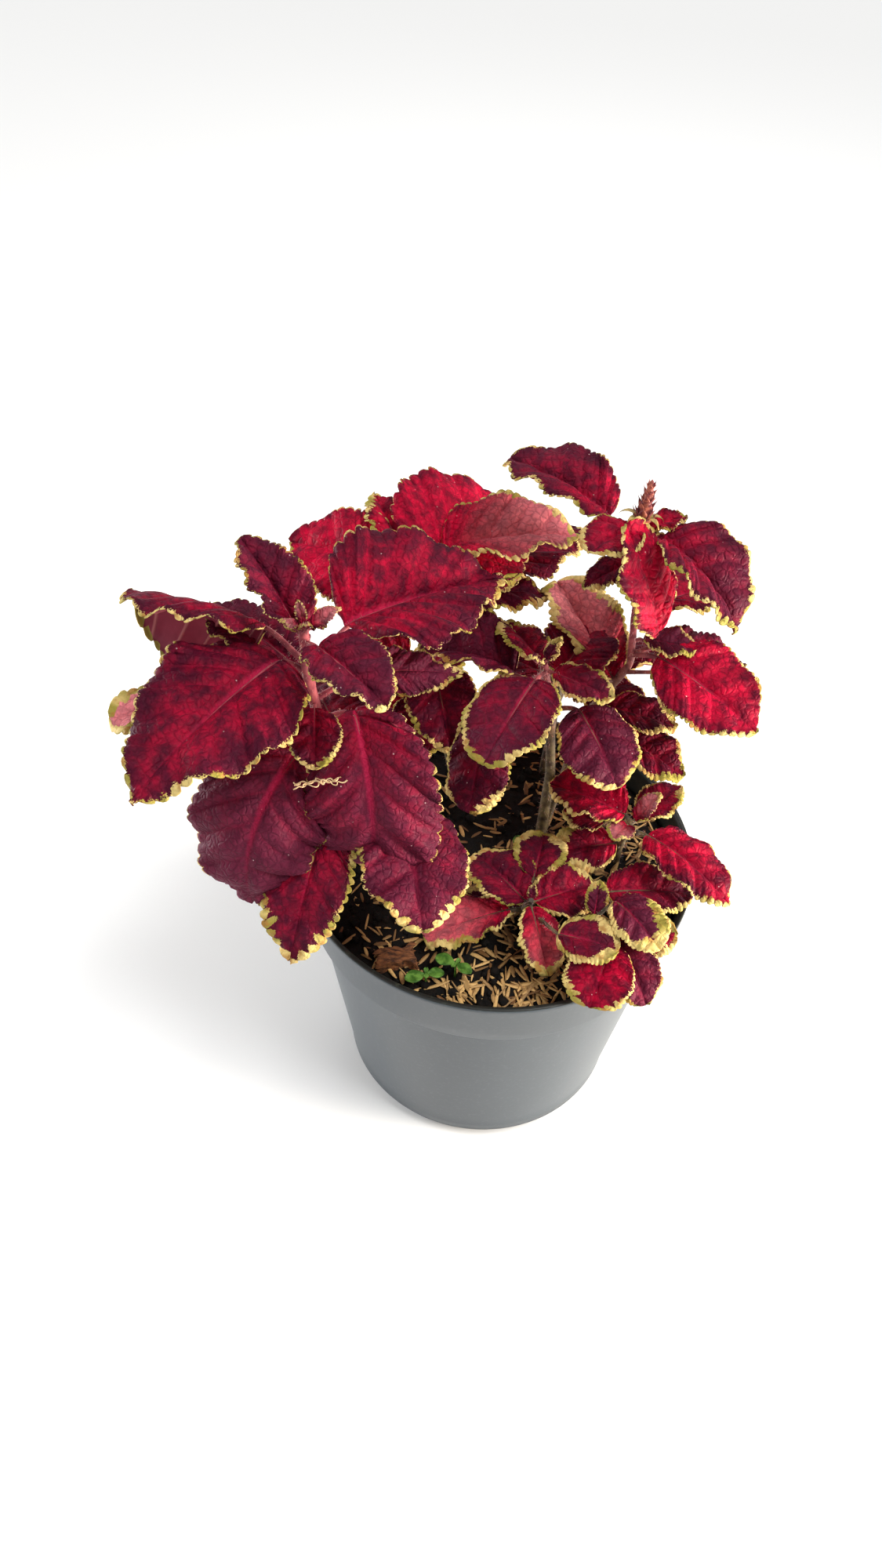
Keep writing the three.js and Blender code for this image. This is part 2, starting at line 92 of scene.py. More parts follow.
# A finish of two tones that lie in patches, which are in mm. They melt into each other, or where turn is
# given, one gives way to the other there. The relief, a strength and its mm, follows the same pattern, or
# where fine is given, a grain of that many mm.
def patchy(name, tones, patches, turn=None, relief=(), detail=3, rough=0.5, lay=None, fine=None, **shader):
    made, tree, coords = startMaterial(name, **shader)
    if lay:
        coords = addNode(tree, "Mapping", {"Vector": coords, **lay})
    grain = {"Vector": coords, "Scale": 1000 / patches, "Detail": detail, "Roughness": rough}
    pattern = addNode(tree, "TexNoise", grain)
    share = addNode(tree, "MapRange", [pattern, *turn], **eased) if turn else pattern
    body = addNode(tree, "Mix", {0: share, 6: linear(tones[0]), 7: linear(tones[1])}, **rgba)
    if fine:
        pattern = addNode(tree, "TexNoise", {"Vector": coords, "Scale": 1000 / fine})
    return colour(made, body, pattern if relief else None, *relief)


def show(name, data):  # puts a mesh, curve, lamp or camera into the scene
    made = bpy.data.objects.new(name, data)
    scene.collection.objects.link(made)
    return made


def meshFrom(bm, name):
    mesh = bpy.data.meshes.new(name)
    bm.to_mesh(mesh)
    bm.free()
    return mesh


def settle(name, data, materials, node):
    piece = show(name, data)
    for one in materials:
        data.materials.append(one)
    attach(piece, "root")
    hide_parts(node)
    return piece


def finish(bm, name, materials, node, rounded=True):
    for face in bm.faces:
        face.smooth = rounded
    return settle(name, meshFrom(bm, name), materials, node)


def startCurve(name, sides):  # a curve that becomes a tube, as wide in mm as its points say
    curve = bpy.data.curves.new(name, "CURVE")
    curve.dimensions = "3D"
    curve.bevel_depth = mm
    curve.bevel_resolution = sides
    return curve


def lathe(profile, steps):  # (radius, height) points in mm, spun about the upright axis
    bm = bmesh.new()
    verts = [bm.verts.new((r * mm, 0, h * mm)) for r, h in profile]
    edges = [bm.edges.new(pair) for pair in zip(verts, verts[1:])]
    bmesh.ops.spin(
        bm, geom=verts + edges, cent=(0, 0, 0), axis=(0, 0, 1), angle=math.tau, steps=steps, use_merge=True,
    )
    bmesh.ops.remove_doubles(bm, verts=bm.verts, dist=1e-5)
    bmesh.ops.recalc_face_normals(bm, faces=bm.faces)
    return bm


def swing(bm, verts, angle, axis):  # degrees about an axis through the origin
    bmesh.ops.rotate(bm, cent=(0, 0, 0), matrix=Matrix.Rotation(math.radians(angle), 3, axis), verts=verts)


def shift(bm, verts, place):  # by millimetres
    bmesh.ops.translate(bm, vec=Vector(place) * mm, verts=verts)


def template(make, **sizes):  # one small body, kept as points and faces, to be stamped many times
    bm = bmesh.new()
    make(bm, **sizes)
    points = [vert.co.copy() for vert in bm.verts]
    bm.verts.index_update()
    faces = [[vert.index for vert in face.verts] for face in bm.faces]
    bm.free()
    return points, faces


def stamp(bm, shape, place):
    verts = [bm.verts.new(place(point)) for point in shape[0]]
    for face in shape[1]:
        bm.faces.new([verts[i] for i in face])
    return verts


def direction(turn, slope):  # degrees: compass turn from +X, slope above level
    turn, slope = math.radians(turn), math.radians(slope)
    return Vector((math.cos(slope) * math.cos(turn), math.cos(slope) * math.sin(turn), math.sin(slope)))


def smooth(low, high, value):
    value = min(1.0, max(0.0, (value - low) / (high - low)))
    return value * value * (3 - 2 * value)


blade = {
    "crimson": "#c40a34",
    "garnet": "#860a28",
    "maroon": "#58102a",
    # The darkest maroon of the cells, and also the painted shade laid along the sunken veinlet net.
    "blackRedAndShade": "#2e0718",
    "plum": "#642238",
    "rib": "#cc2450",
    "gold": "#dac07a",
    "olive": "#9a8e40",
    "scorch": "#a5713a",
    "dust": "#e3c3c0",
    # A greyed rose: partly the leaves' own tone, partly a painted sheen, and made brighter as painted light
    # for leaves that lie in shade.
    "pale": "#f6989c",
    "backDark": "#5c1a30",
    "backPale": "#8a3146",
    "backVein": "#bd7470",
    "netCell": 3.2,  # mm between veinlets
    "netSway": 2,  # mm that the net is bent out of line
    "blotch": 5.0,  # mm
    "cloud": 14.0,  # mm
    "pelt": 0.7,  # mm, the coarsest of the hairs' texture
    "mottling": 0.58,  # how far blotches change the red
    "clouding": 0.28,  # how far clouds change it
    "ragged": (0.32, 0.3),  # how far the pelt and the blotches fray the gold's inner line
    "speck": 5.88,  # mm between dust specks
}
bladeTones = {name: linear(code) for name, code in blade.items() if isinstance(code, str)}


def bladeLines(tree):  # how far a point lies from a side vein and from the midrib
    uv = addNode(tree, "SeparateXYZ", [addNode(tree, "UVMap", uv_map="leaf")]).node.outputs
    gaps = []
    for place in (addNode(tree, "Math", [uv[0]], operation="FRACT"), uv[1]):
        offset = addNode(tree, "Math", [place, 0.5], operation="SUBTRACT")
        gaps.append(addNode(tree, "Math", [offset], operation="ABSOLUTE"))
    return gaps


def stir(tree, pattern, share, onto):  # adds a share of the pattern's swing about its middle
    offset = addNode(tree, "Math", [pattern, 0.5], operation="SUBTRACT")
    return addNode(tree, "Math", [offset, share, onto], operation="MULTIPLY_ADD")


# Living coleus blade, upper face: a soft pelt of fine hairs over crimson or dark maroon cells, so it is
# matt with a faint bloom at a slant. Veinlets sink into it as a net darkened with painted shade, and the
# margin has no red and is gold.
def bladeTop():
    made, tree, coords = startMaterial(
        "coleus blade, velvet upper face", Roughness=0.55, Sheen_Weight=0.04, Sheen_Roughness=0.35,
        Sheen_Tint=linear("#e090b0"), Specular_IOR_Level=0.07,
    )
    c = bladeTones
    look = addNode(tree, "Attribute", output="Color", attribute_name="look").node.outputs
    glow, band, plum = list(addNode(tree, "SeparateColor", [look["Color"]]).node.outputs)[:3]
    rib = addNode(tree, "Attribute", output="Fac", attribute_name="rib")

    blotches, clouds, pelt = [
        addNode(tree, "TexNoise", {"Vector": coords, "Scale": 1000 / blade[size], "Detail": 2})
        for size in ("blotch", "cloud", "pelt")
    ]
    waver = addNode(tree, "TexNoise", {"Vector": coords, "Scale": 300}, 1)
    waver = addNode(tree, "VectorMath", [waver, (blade["netSway"] * mm,) * 3], operation="MULTIPLY")
    bent = addNode(tree, "VectorMath", [coords, waver], operation="ADD")
    net = {"Vector": bent, "Scale": 1000 / blade["netCell"]}
    net = addNode(tree, "TexVoronoi", net, feature="DISTANCE_TO_EDGE")
    cells = addNode(tree, "MapRange", [net, 0, 0.22], **eased)

    fromVein, across = bladeLines(tree)
    halo = addNode(tree, "MapRange", [fromVein, 0, 0.35, 0.08, -0.04], **eased)
    vein = addNode(tree, "MapRange", [fromVein, 0, 0.1, 1, 0], **eased)
    midrib = addNode(tree, "MapRange", [across, 0.004, 0.024, 1, 0], **eased)

    dark = addNode(tree, "Mix", {0: clouds, 6: c["blackRedAndShade"], 7: c["maroon"]}, **rgba)
    mottle = addNode(tree, "Math", [halo, blotches], operation="ADD")
    shade = addNode(tree, "MapRange", [mottle, 0.28, 0.64], **eased)
    bright = addNode(tree, "Mix", {0: shade, 6: c["garnet"], 7: c["crimson"]}, **rgba)
    amount = stir(tree, mottle, blade["mottling"], glow)
    amount = stir(tree, clouds, blade["clouding"], amount)
    amount = addNode(tree, "MapRange", [amount, 0, 0.95], **eased)
    body = addNode(tree, "Mix", {0: amount, 6: dark, 7: bright}, **rgba)
    # Plum, then the pale rose, which is partly a painted sheen and painted light.
    for tone, strength, pattern in (("plum", plum, clouds), ("pale", look["Alpha"], blotches)):
        uneven = addNode(tree, "Math", [pattern, 0.5], operation="ADD")
        share = addNode(tree, "Math", [strength, uneven], operation="MULTIPLY")
        body = addNode(tree, "Mix", {0: share, 6: body, 7: c[tone]}, **rgba)
    # Painted shade: the veinlet net is darkened where it sinks into the blade.
    netShade = addNode(tree, "MapRange", [cells, 0, 1, 0.27, 0])
    body = addNode(tree, "Mix", {0: netShade, 6: body, 7: c["blackRedAndShade"]}, **rgba)
    ribs = addNode(tree, "Math", [addNode(tree, "Math", [vein, 0.2], operation="MULTIPLY"), midrib],
                   operation="MAXIMUM")
    ribs = addNode(tree, "Math", [ribs, rib], operation="MULTIPLY")
    body = addNode(tree, "Mix", {0: ribs, 6: body, 7: c["rib"]}, **rgba)
    body = addNode(tree, "Mix", {0: 0.35, 6: body, 7: pelt}, blend_type="OVERLAY", **rgba)

    hue = addNode(tree, "MapRange", [clouds, 0.42, 0.6], **eased)
    edge = addNode(tree, "Mix", {0: hue, 6: c["gold"], 7: c["olive"]}, **rgba)
    spots = addNode(tree, "MapRange", [blotches, 0.5, 0.7, 0, 0.75], **eased)
    edge = addNode(tree, "Mix", {0: spots, 6: edge, 7: c["scorch"]}, **rgba)
    line = stir(tree, pelt, blade["ragged"][0], band)
    line = stir(tree, blotches, blade["ragged"][1], line)
    golden = addNode(tree, "MapRange", [line, -0.01, 0.035], **eased)
    body = addNode(tree, "Mix", {0: golden, 6: body, 7: edge}, **rgba)
    specks = addNode(tree, "TexVoronoi", {"Vector": coords, "Scale": 1000 / blade["speck"]})
    specks = addNode(tree, "MapRange", [specks, 0.035, 0.06, 0.6, 0])
    body = addNode(tree, "Mix", {0: specks, 6: body, 7: c["dust"]}, **rgba)

    relief = addNode(tree, "Math", [cells, 0.7, blotches], operation="MULTIPLY_ADD")
    relief = addNode(tree, "Math", [pelt, 0.35, relief], operation="MULTIPLY_ADD")
    return colour(made, body, relief, 0.6, 0.7)


# Underside of the same blade: paler, dull rose, with the veins standing out as fleshy ribs.
def bladeBack():
    made, tree, coords = startMaterial(
        "coleus blade, ribbed underside", Roughness=0.65, Sheen_Weight=0.15, Sheen_Roughness=0.5,
        Sheen_Tint=linear("#e6c4c8"), Specular_IOR_Level=0.3,
    )
    c = bladeTones
    look = addNode(tree, "Attribute", output="Color", attribute_name="look")
    glow, band = list(addNode(tree, "SeparateColor", [look]).node.outputs)[:2]
    blotches = addNode(tree, "TexNoise", {"Vector": coords, "Scale": 1000 / blade["blotch"], "Detail": 3})
    fromVein, across = bladeLines(tree)
    vein = addNode(tree, "MapRange", [fromVein, 0.01, 0.08, 1, 0], **eased)
    midrib = addNode(tree, "MapRange", [across, 0.01, 0.03, 1, 0], **eased)
    ribs = addNode(tree, "Math", [vein, midrib], operation="MAXIMUM")
    body = addNode(tree, "Mix", {0: blotches, 6: c["backDark"], 7: c["backPale"]}, **rgba)
    through = addNode(tree, "Math", [glow, 0.5], operation="MULTIPLY")
    body = addNode(tree, "Mix", {0: through, 6: body, 7: c["crimson"]}, **rgba)
    lines = addNode(tree, "Math", [ribs, 0.6], operation="MULTIPLY")
    body = addNode(tree, "Mix", {0: lines, 6: body, 7: c["backVein"]}, **rgba)
    golden = addNode(tree, "MapRange", [band, -0.01, 0.04], **eased)
    body = addNode(tree, "Mix", {0: golden, 6: body, 7: c["olive"]}, **rgba)
    relief = addNode(tree, "Math", [blotches, 0.5, ribs], operation="MULTIPLY_ADD")
    return colour(made, body, relief, 0.6, 0.6)


# Older stem: corky brown and olive low down, still red near the top.
def stemBark():
    made, tree, coords = startMaterial(
        "coleus stem, corky below and red above", Roughness=0.6, Sheen_Weight=0.1, Sheen_Roughness=0.5,
    )
    height = addNode(tree, "SeparateXYZ", [coords], 2)
    grain = {"Vector": coords, "Scale": 1000 / 4.545, "Detail": 4, "Roughness": 0.6}
    patches = addNode(tree, "TexNoise", grain)
    share = addNode(tree, "MapRange", [patches, 0.35, 0.65], **eased)
    wood = addNode(tree, "Mix", {0: share, 6: linear("#382a1a"), 7: linear("#70603c")}, **rgba)
    red = addNode(tree, "Mix", {0: share, 6: linear("#7c2434"), 7: linear("#a84a50")}, **rgba)
    level = addNode(tree, "Math", [patches, 0.03, height], operation="MULTIPLY_ADD")
    level = addNode(tree, "MapRange", [level, 0.22, 0.28], **eased)
    body = addNode(tree, "Mix", {0: level, 6: wood, 7: red}, **rgba)
    return colour(made, body, patches, 0.6, 0.8)


# Thermoformed polypropylene sheet: smooth blue-grey outside with a soft shine and a little dust.
def potShell():
    made, tree, coords = startMaterial(
        "thermoformed polypropylene, grey outside", Roughness=0.3, IOR=1.38,
    )
    clouds = addNode(tree, "TexNoise", {"Vector": coords, "Scale": 1000 / 71.4, "Detail": 3})
    grain = {"Vector": coords, "Scale": 1000 / 1.92, "Detail": 3, "Roughness": 0.6}
    dust = addNode(tree, "TexNoise", grain)
    body = addNode(tree, "Mix", {0: clouds, 6: linear("#394147"), 7: linear("#434b51")}, **rgba)
    share = addNode(tree, "MapRange", [dust, 0.5, 0.85, 0, 0.2], **eased)
    body = addNode(tree, "Mix", {0: share, 6: body, 7: linear("#83858a")}, **rgba)
    return colour(made, body, dust, 0.05, 0.2)


# Moist black peat: crumbs and root threads, dull but for wet specks.
def peat():
    made, tree, coords = startMaterial(
        "potting peat, moist crumb", Roughness=0.9, Specular_IOR_Level=0.25,
    )
    grain = {"Vector": coords, "Scale": 1000 / 2.38, "Detail": 5, "Roughness": 0.7}
    crumbs = addNode(tree, "TexNoise", grain)
    threads = addNode(tree, "TexNoise", {"Vector": coords, "Scale": 1000 / 11.1, "Detail": 3})
    share = addNode(tree, "MapRange", [crumbs, 0.38, 0.7], **eased)
    body = addNode(tree, "Mix", {0: share, 6: linear("#060504"), 7: linear("#1f1710")}, **rgba)
    share = addNode(tree, "MapRange", [threads, 0.55, 0.75, 0, 0.4], **eased)
    body = addNode(tree, "Mix", {0: share, 6: body, 7: linear("#2e2116")}, **rgba)
    wetness = addNode(tree, "MapRange", [crumbs, 0.3, 0.7, 0.55, 0.95])
    return colour(made, body, crumbs, 1, 1.5, wetness)


# Dry rice husk and straw: thin papery slivers, tan with darker weathered ends.
def dryHusk():
    made, tree, coords = startMaterial("rice husk and straw, dry", Roughness=0.6)
    tint = addNode(tree, "Attribute", output="Fac", attribute_name="tint")
    grain = {"Vector": coords, "Scale": 1000 / 1.43, "Detail": 4, "Roughness": 0.7}
    streaks = addNode(tree, "TexNoise", grain)
    body = addNode(tree, "Mix", {0: tint, 6: linear("#6a431f"), 7: linear("#f2c47c")}, **rgba)
    share = addNode(tree, "MapRange", [streaks, 0.5, 0.75, 0, 0.7], **eased)
    body = addNode(tree, "Mix", {0: share, 6: body, 7: linear("#4b3019")}, **rgba)
    return colour(made, body, streaks, 0.5, 0.4)


downy = {
    "patches": 2.38, "turn": (0.38, 0.66), "relief": (0.4, 0.4),
    "Roughness": 0.6, "Sheen_Weight": 0.1, "Sheen_Roughness": 0.4,
}
finishes = {
    "top": bladeTop(),
    "back": bladeBack(),
    # Leaf stalk: juicy young tissue, rose red where the sun reaches it and straw orange beneath.
    "stalk": patchy(
        "coleus stalk, juicy skin", ("#a82c4a", "#c06248"), 6.25, (0.4, 0.65), (0.3, 0.3), fine=0.714,
        Roughness=0.45, Sheen_Weight=0.2, Sheen_Roughness=0.4, Subsurface_Weight=0.1,
        Subsurface_Scale=1.5 * mm,
    ),
    "stem": stemBark(),
    # Fine plant hair: clear cells, pale and a little see-through.
    "hair": patchy(
        "coleus hair, clear cells", ("#b5677a", "#e8cdb8"), 11.1,
        detail=2, Roughness=0.4, Subsurface_Weight=0.3, Subsurface_Scale=0.5 * mm,
    ),
    # Dried leaf tissue: brittle tan threads left where a blade has torn.
    "lace": patchy("coleus blade, dead and dry", ("#b98a58", "#f0dcae"), 2.0, Roughness=0.8),
    # Young flower spike: overlapping downy bracts, dull red-brown, and golden where they are youngest.
    "bract": patchy("coleus bract, downy and dull", ("#6c1f2a", "#b0604a"), **downy),
    "goldBract": patchy("coleus bract, young and golden", ("#8a7a34", "#c9a860"), **downy),
    "pot": potShell(),
    # Inner layer of the same sheet: black, dulled by dried soil water.
    "lining": patchy(
        "thermoformed polypropylene, black inside", ("#10140f", "#31372c"), 3.33, (0.5, 0.75), (0.15, 0.3),
        detail=4, rough=0.7, Roughness=0.45, IOR=1.49,
    ),
    "peat": peat(),
    "husk": dryHusk(),
    # Pine bark chip: plates of cork with split orange-brown layers between them.
    "bark": patchy(
        "pine bark, broken chip", ("#3b2010", "#a9693a"), 6.25, (0.35, 0.68), (1.0, 1.5),
        detail=5, rough=0.7, lay={"Rotation": (0, 0, math.radians(-12)), "Scale": (1, 4, 3)}, Roughness=0.8,
    ),
    # Seedling leaf: thin, smooth and fresh green.
    "green": patchy(
        "seedling leaf, fresh green", ("#345a1a", "#66903a"), 3.33, (0.35, 0.65), (0.2, 0.4),
        Roughness=0.5, Specular_IOR_Level=0.2,
    ),
}
print("coleus: finishes made")

leafShape = {
    "slant": 0.27,  # how far the side veins run forward
    "stalkRise": 25,  # degrees
    "wave": 1.2,
    "tooth": (0.8, 0.047),  # mm along the margin: least, and more for each mm of the blade's length
    "toothSizes": (0.65, 1.25),
    "rowsPerTooth": 4,
    "columns": (0, 0.05, 0.14, 0.3, 0.48, 0.66, 0.83, 1, 1.4, 1.68, 1.87, 2),  # past 1 they lie in the margin
    "steps": 24,  # along the midrib
    "thick": 0.5,
    "quilt": (0.6, 0.018),  # mm the cells between veins rise: least, and more for each mm of length
    "arch": 0.1,  # of the half width
    "ruffle": 0.036,  # of the length
    "warp": 0.032,  # of the length
    "beadRise": 0.8,
    "furrow": (0.9, 1.1),  # mm deep and wide, over the midrib
    "edgeLine": 0.15,  # mm of tan that even the reddest margin keeps
}


def halfWidth(share, width, tip):  # tip: 0.8 for a pointed blade, less for a blunt one
    widest = 0.5 / (0.5 + tip)
    return width / 2 * share ** 0.5 * (1 - share) ** tip / (widest ** 0.5 * (1 - widest) ** tip)


def stemPoint(route, height):
    above = next((i for i, p in enumerate(route) if p[2] >= height and i), len(route) - 1)
    low, high = Vector(route[above - 1]), Vector(route[above])
    return low.lerp(high, (height - low.z) / (high.z - low.z))


# A leaf row: height, turn, stalk, length, width, lift, droop, roll, cup, swing, tip, glow, gold, plum
def leafPlan(route, row):
    height, turn, stalk, length, _, lift, droop, _, _, swing = row[:10]
    node = stemPoint(route, height)
    base = node + direction(turn + swing, leafShape["stalkRise"]) * stalk
    spine = [base]
    steps = leafShape["steps"]
    for i in range(steps):
        slope = lift + droop * (0.5 - (i + 0.5) / steps)
        spine.append(spine[-1] + direction(turn, slope) * (length / steps))

    def frameAt(share):
        slope = lift + droop * (0.5 - share)
        ahead, up = direction(turn, slope), direction(turn, slope + 90)
        place = min(share * steps, steps - 1e-6)
        point = spine[int(place)].lerp(spine[int(place) + 1], place % 1)
        return point, up, ahead.cross(up)

    return node, base, frameAt


# The grid's rows follow the side veins: each leaves the midrib nearer the stalk than it meets the margin.
def addLeaf(bm, route, row, layers):
    length, width, roll, cup = row[3], row[4], row[7], row[8]
    tip, glow, gold, plum = row[10:]
    # A negative plum gives the pale rose, partly the leaf's own tone and partly a painted sheen and painted
    # light.
    pale, plum = max(0.0, -plum), max(0.0, plum)
    frameAt = leafPlan(route, row)[2]
    chance = random.Random(round(row[0] * 7 + row[1] * 13 + length))
    drift = Vector([50 * chance.random() for _ in range(3)])
    phase, ripples = chance.uniform(0, math.tau), chance.uniform(2.6, 4.0)
    least, more = leafShape["tooth"]
    teeth = max(4, round(1.12 * length / (least + more * length)))
    pitch = 1.12 * length / teeth
    sizes = [chance.uniform(*leafShape["toothSizes"]) for _ in range(2 * teeth + 4)]
    veins = 8 if length > 60 else 6 if length > 35 else 5
    quilt = (leafShape["quilt"][0] + leafShape["quilt"][1] * length) * (1 + 0.7 * plum)
    furrowDeep, furrowWide = leafShape["furrow"]
    rows = teeth * leafShape["rowsPerTooth"]
    columns = [-c for c in reversed(leafShape["columns"])] + list(leafShape["columns"][1:])
    made = bmesh.ops.create_grid(bm, x_segments=len(columns) - 1, y_segments=rows, size=1)
    spots = {}
    for vert in made["verts"]:
        column = columns[round((vert.co.x + 1) / 2 * (len(columns) - 1))]
        side = 1 if column > 0 else -1
        u = round((vert.co.y + 1) / 2 * rows) / rows
        s = 0.003 + 0.994 * (u + 0.2 / teeth * math.sin(math.tau * 1.7 * u + phase) * math.sin(math.pi * u))
        count = teeth * u + (0.5 if side < 0 else 0)
        bead = math.sqrt(max(0.0, 1 - (2 * (count % 1) ** 1.25 - 1) ** 2))
        size = sizes[int(count) * 2 + (side > 0)]
        fade = smooth(0, 0.1, s)
        edge = halfWidth(s, width, tip)
        deep = min(0.42 * pitch, 0.3 * edge + 0.2) * size
        edge += deep * (bead - 0.7) * fade + 0.02 * width * noise.noise(drift + Vector((6 * s, side, 0)))
        edge = max(edge, 0.3)
        within = 1 - min((0.9 * pitch + 0.4) / edge, 0.45)
        inner, outer = min(abs(column), 1.0), max(abs(column) - 1.0, 0.0)
        a = inner * within + outer * (1 - within)

        rootShare = s - leafShape["slant"] * math.sin(math.pi * s)
        share = rootShare + (s - rootShare) * a
        point, up, right = frameAt(share)
        tilt = math.radians(side * roll - cup)
        soft = a / (a + 0.07) * 1.07
        reach = a * edge
        outward = right * (side * math.cos(tilt)) - up * (math.sin(tilt) * soft)
        normal = up * math.cos(tilt) + right * (side * math.sin(tilt))
        if a < 0.1:
            normal = up.lerp(normal, a / 0.1).normalized()

        sway = side * math.sin(9 * share + side + math.radians(row[1])) * math.sin(math.pi * share)
        lie = leafShape["wave"] * sway * reach * 2 / length
        lie += leafShape["arch"] * edge * math.sin(math.pi * a ** 0.8)
        ripple = math.sin(math.tau * ripples * s + phase + 2 * side)
        lie += leafShape["ruffle"] * length * ripple * a ** 3 * fade
        puff = abs(math.cos(math.pi * (veins * s + 0.12 * side))) ** 0.6
        lie += quilt * (puff - 0.5) * smooth(0.03, 0.25, a) * smooth(1.02, 0.75, a) * fade
        swell = leafShape["beadRise"] * math.sin(math.pi * min(outer * 1.15, 1)) * size * fade
        lie += bead * (swell - 0.5 * outer ** 4)
        furrow = furrowDeep * math.exp(-(reach / furrowWide) ** 2)
        lie -= furrow * smooth(1.0, 0.6, s) * min(1, length / 40)
        place = point + outward * reach
        lie += leafShape["warp"] * length * a * noise.noise(drift + place * 0.045)
        lie += 0.35 * inner * noise.noise(drift + place * 0.16)
        vert.co = (place + normal * lie) * mm

        wide = gold * 0.85 + min(gold, 1.4) * 0.42 * pitch * (bead * size - 0.6)
        uneven = noise.noise(drift + Vector((4 * s, 3 * side, 1)))
        wide *= (1 + 1.2 * smooth(0.6, 1.0, s)) * (0.85 + 1.2 * uneven)
        wide = max(wide, leafShape["edgeLine"])
        purple = min(1.0, plum * (0.5 + 0.9 * smooth(0.1, 0.9, s)))
        bright = glow * (0.3 + 0.7 * smooth(1.05, 0.5, a))
        bright *= (1 - 0.35 * smooth(0.5, 1.0, s)) * (1 - 0.45 * purple)
        bright *= 0.9 + 0.5 * noise.noise(drift * 2 + place * 0.04)
        band = (wide - (1 - a) * edge) * 0.1  # centimetres inside the gold margin
        rib = (0.5 + 0.35 * plum) * smooth(1.0, 0.3, a) * smooth(1.05, 0.3, s)
        look = bright, band, purple, pale * smooth(0.25, 0.8, s)
        spots[vert] = look, rib, (s * veins + 0.12 * side, column / 4 + 0.5)
    for vert, (look, rib, _) in spots.items():
        vert[layers["look"]] = look
        vert[layers["rib"]] = rib
    for face in {face for vert in spots for face in vert.link_faces}:
        for loop in face.loops:
            loop[layers["uv"]].uv = spots[loop.vert][2]


def addTube(curve, points, widths, materialIndex=0):
    tube = curve.splines.new("NURBS")
    tube.points.add(len(points) - 1)
    for spot, point, wide in zip(tube.points, points, widths):
        spot.co = (*(Vector(point) * mm), 1)
        spot.radius = wide
    tube.order_u = 3
    tube.resolution_u = 3
    tube.use_endpoint_u = True
    tube.material_index = materialIndex


def addStem(curve, route, radius, leaves):
    foot = Vector(route[0])
    path = [foot, Vector((foot.x, foot.y, 147))] + [Vector(p) for p in route[1:]]
    nodes = {round(row[0]) for row in leaves}
    points, widths = [], []
    for low, high in zip(path, path[1:]):
        count = max(1, round((high - low).length / 5))
        for i in range(count):
            points.append(low.lerp(high, i / count))
    points.append(path[-1])
    for point in points:
        near = min((abs(point.z - n) for n in nodes), default=99)
        thin = 1 - 0.35 * smooth(150, path[-1].z, point.z)
        widths.append(radius * (thin + 0.22 * math.exp(-(near / 2.5) ** 2)))
    widths[-1] *= 0.7
    addTube(curve, points, widths)
    return list(zip(points, widths))


def addStalk(curve, route, row):
    length = row[3]
    node, base, frameAt = leafPlan(route, row)
    wide = (1.15 if length > 35 else 0.9) if length > 20 else 0.45
    points = [node, node.lerp(base, 0.35), node.lerp(base, 0.75)]
    widths = [wide * 1.25, wide * 1.05, wide]
    for share, part in ((0.03, 0.85), (0.12, 0.7), (0.3, 0.5), (0.5, 0.38), (0.7, 0.26), (0.9, 0.12)):
        point, up, _ = frameAt(share)
        points.append(point - up * (0.75 + 0.35 * wide * part))
        widths.append(wide * part)
    addTube(curve, points, widths, 1)
    return list(zip(points, widths))[:5]


hairs = {"apart": 0.55, "long": (1.0, 2.0), "thick": 0.07, "stray": 0.2}  # mm


def addHairs(name, paths, node):
    curve = startCurve(name, 0)
    chance = random.Random(len(paths))
    for path in paths:
        for (low, lowWide), (high, highWide) in zip(path, path[1:]):
            along = high - low
            for _ in range(round(along.length / hairs["apart"])):
                share = chance.random()
                out = Vector([chance.gauss(0, 1) for _ in "xyz"])
                out = (out - along * (out.dot(along) / along.length_squared)).normalized()
                wide = lowWide + (highWide - lowWide) * share
                long = chance.uniform(*hairs["long"])
                foot = low.lerp(high, share) + out * wide * 0.9
                stray = [chance.gauss(0, hairs["stray"]) for _ in "xy"]
                end = foot + out * long + Vector((*stray, -0.12 * long))
                hair = curve.splines.new("POLY")
                hair.points.add(2)
                bow = foot.lerp(end, 0.5) + out * 0.1
                for spot, place, part in zip(hair.points, (foot, bow, end), (1, 0.7, 0.2)):
                    spot.co = (*(place * mm), 1)
                    spot.radius = hairs["thick"] * part
    settle(name, curve, [finishes["hair"]], node)


# Dead lace on the left stem's hanging leaf.
tear = {"leaf": 12, "share": 0.295, "threads": 4, "points": 16, "thick": 0.27, "curl": 0.8}


def addTear():
    row = leftStem["leaves"][tear["leaf"]]
    frameAt = leafPlan(leftStem["route"], row)[2]
    curve = startCurve("left_stem_torn_edge", 1)
    chance = random.Random(3)
    for _ in range(tear["threads"]):
        share, start = tear["share"] + chance.gauss(0, 0.008), chance.uniform(0.3, 0.6)
        point, up, right = frameAt(share)
        ahead = up.cross(right)
        width = halfWidth(share, row[4], row[10])
        points = []
        for i in range(tear["points"]):
            along = i / (tear["points"] - 1)
            reach = width * (start + (1.1 - start) * along) + chance.gauss(0, 0.5)
            curl = Vector((chance.gauss(0, 1), chance.gauss(0, 0.7), 0)) * tear["curl"]
            points.append(point + right * reach + ahead * curl.x + up * (1.8 + curl.y - 0.12 * reach))
        addTube(curve, points, [tear["thick"] * chance.uniform(0.6, 1.3) for _ in points])
    settle(curve.name, curve, [finishes["lace"]], "left_stem")


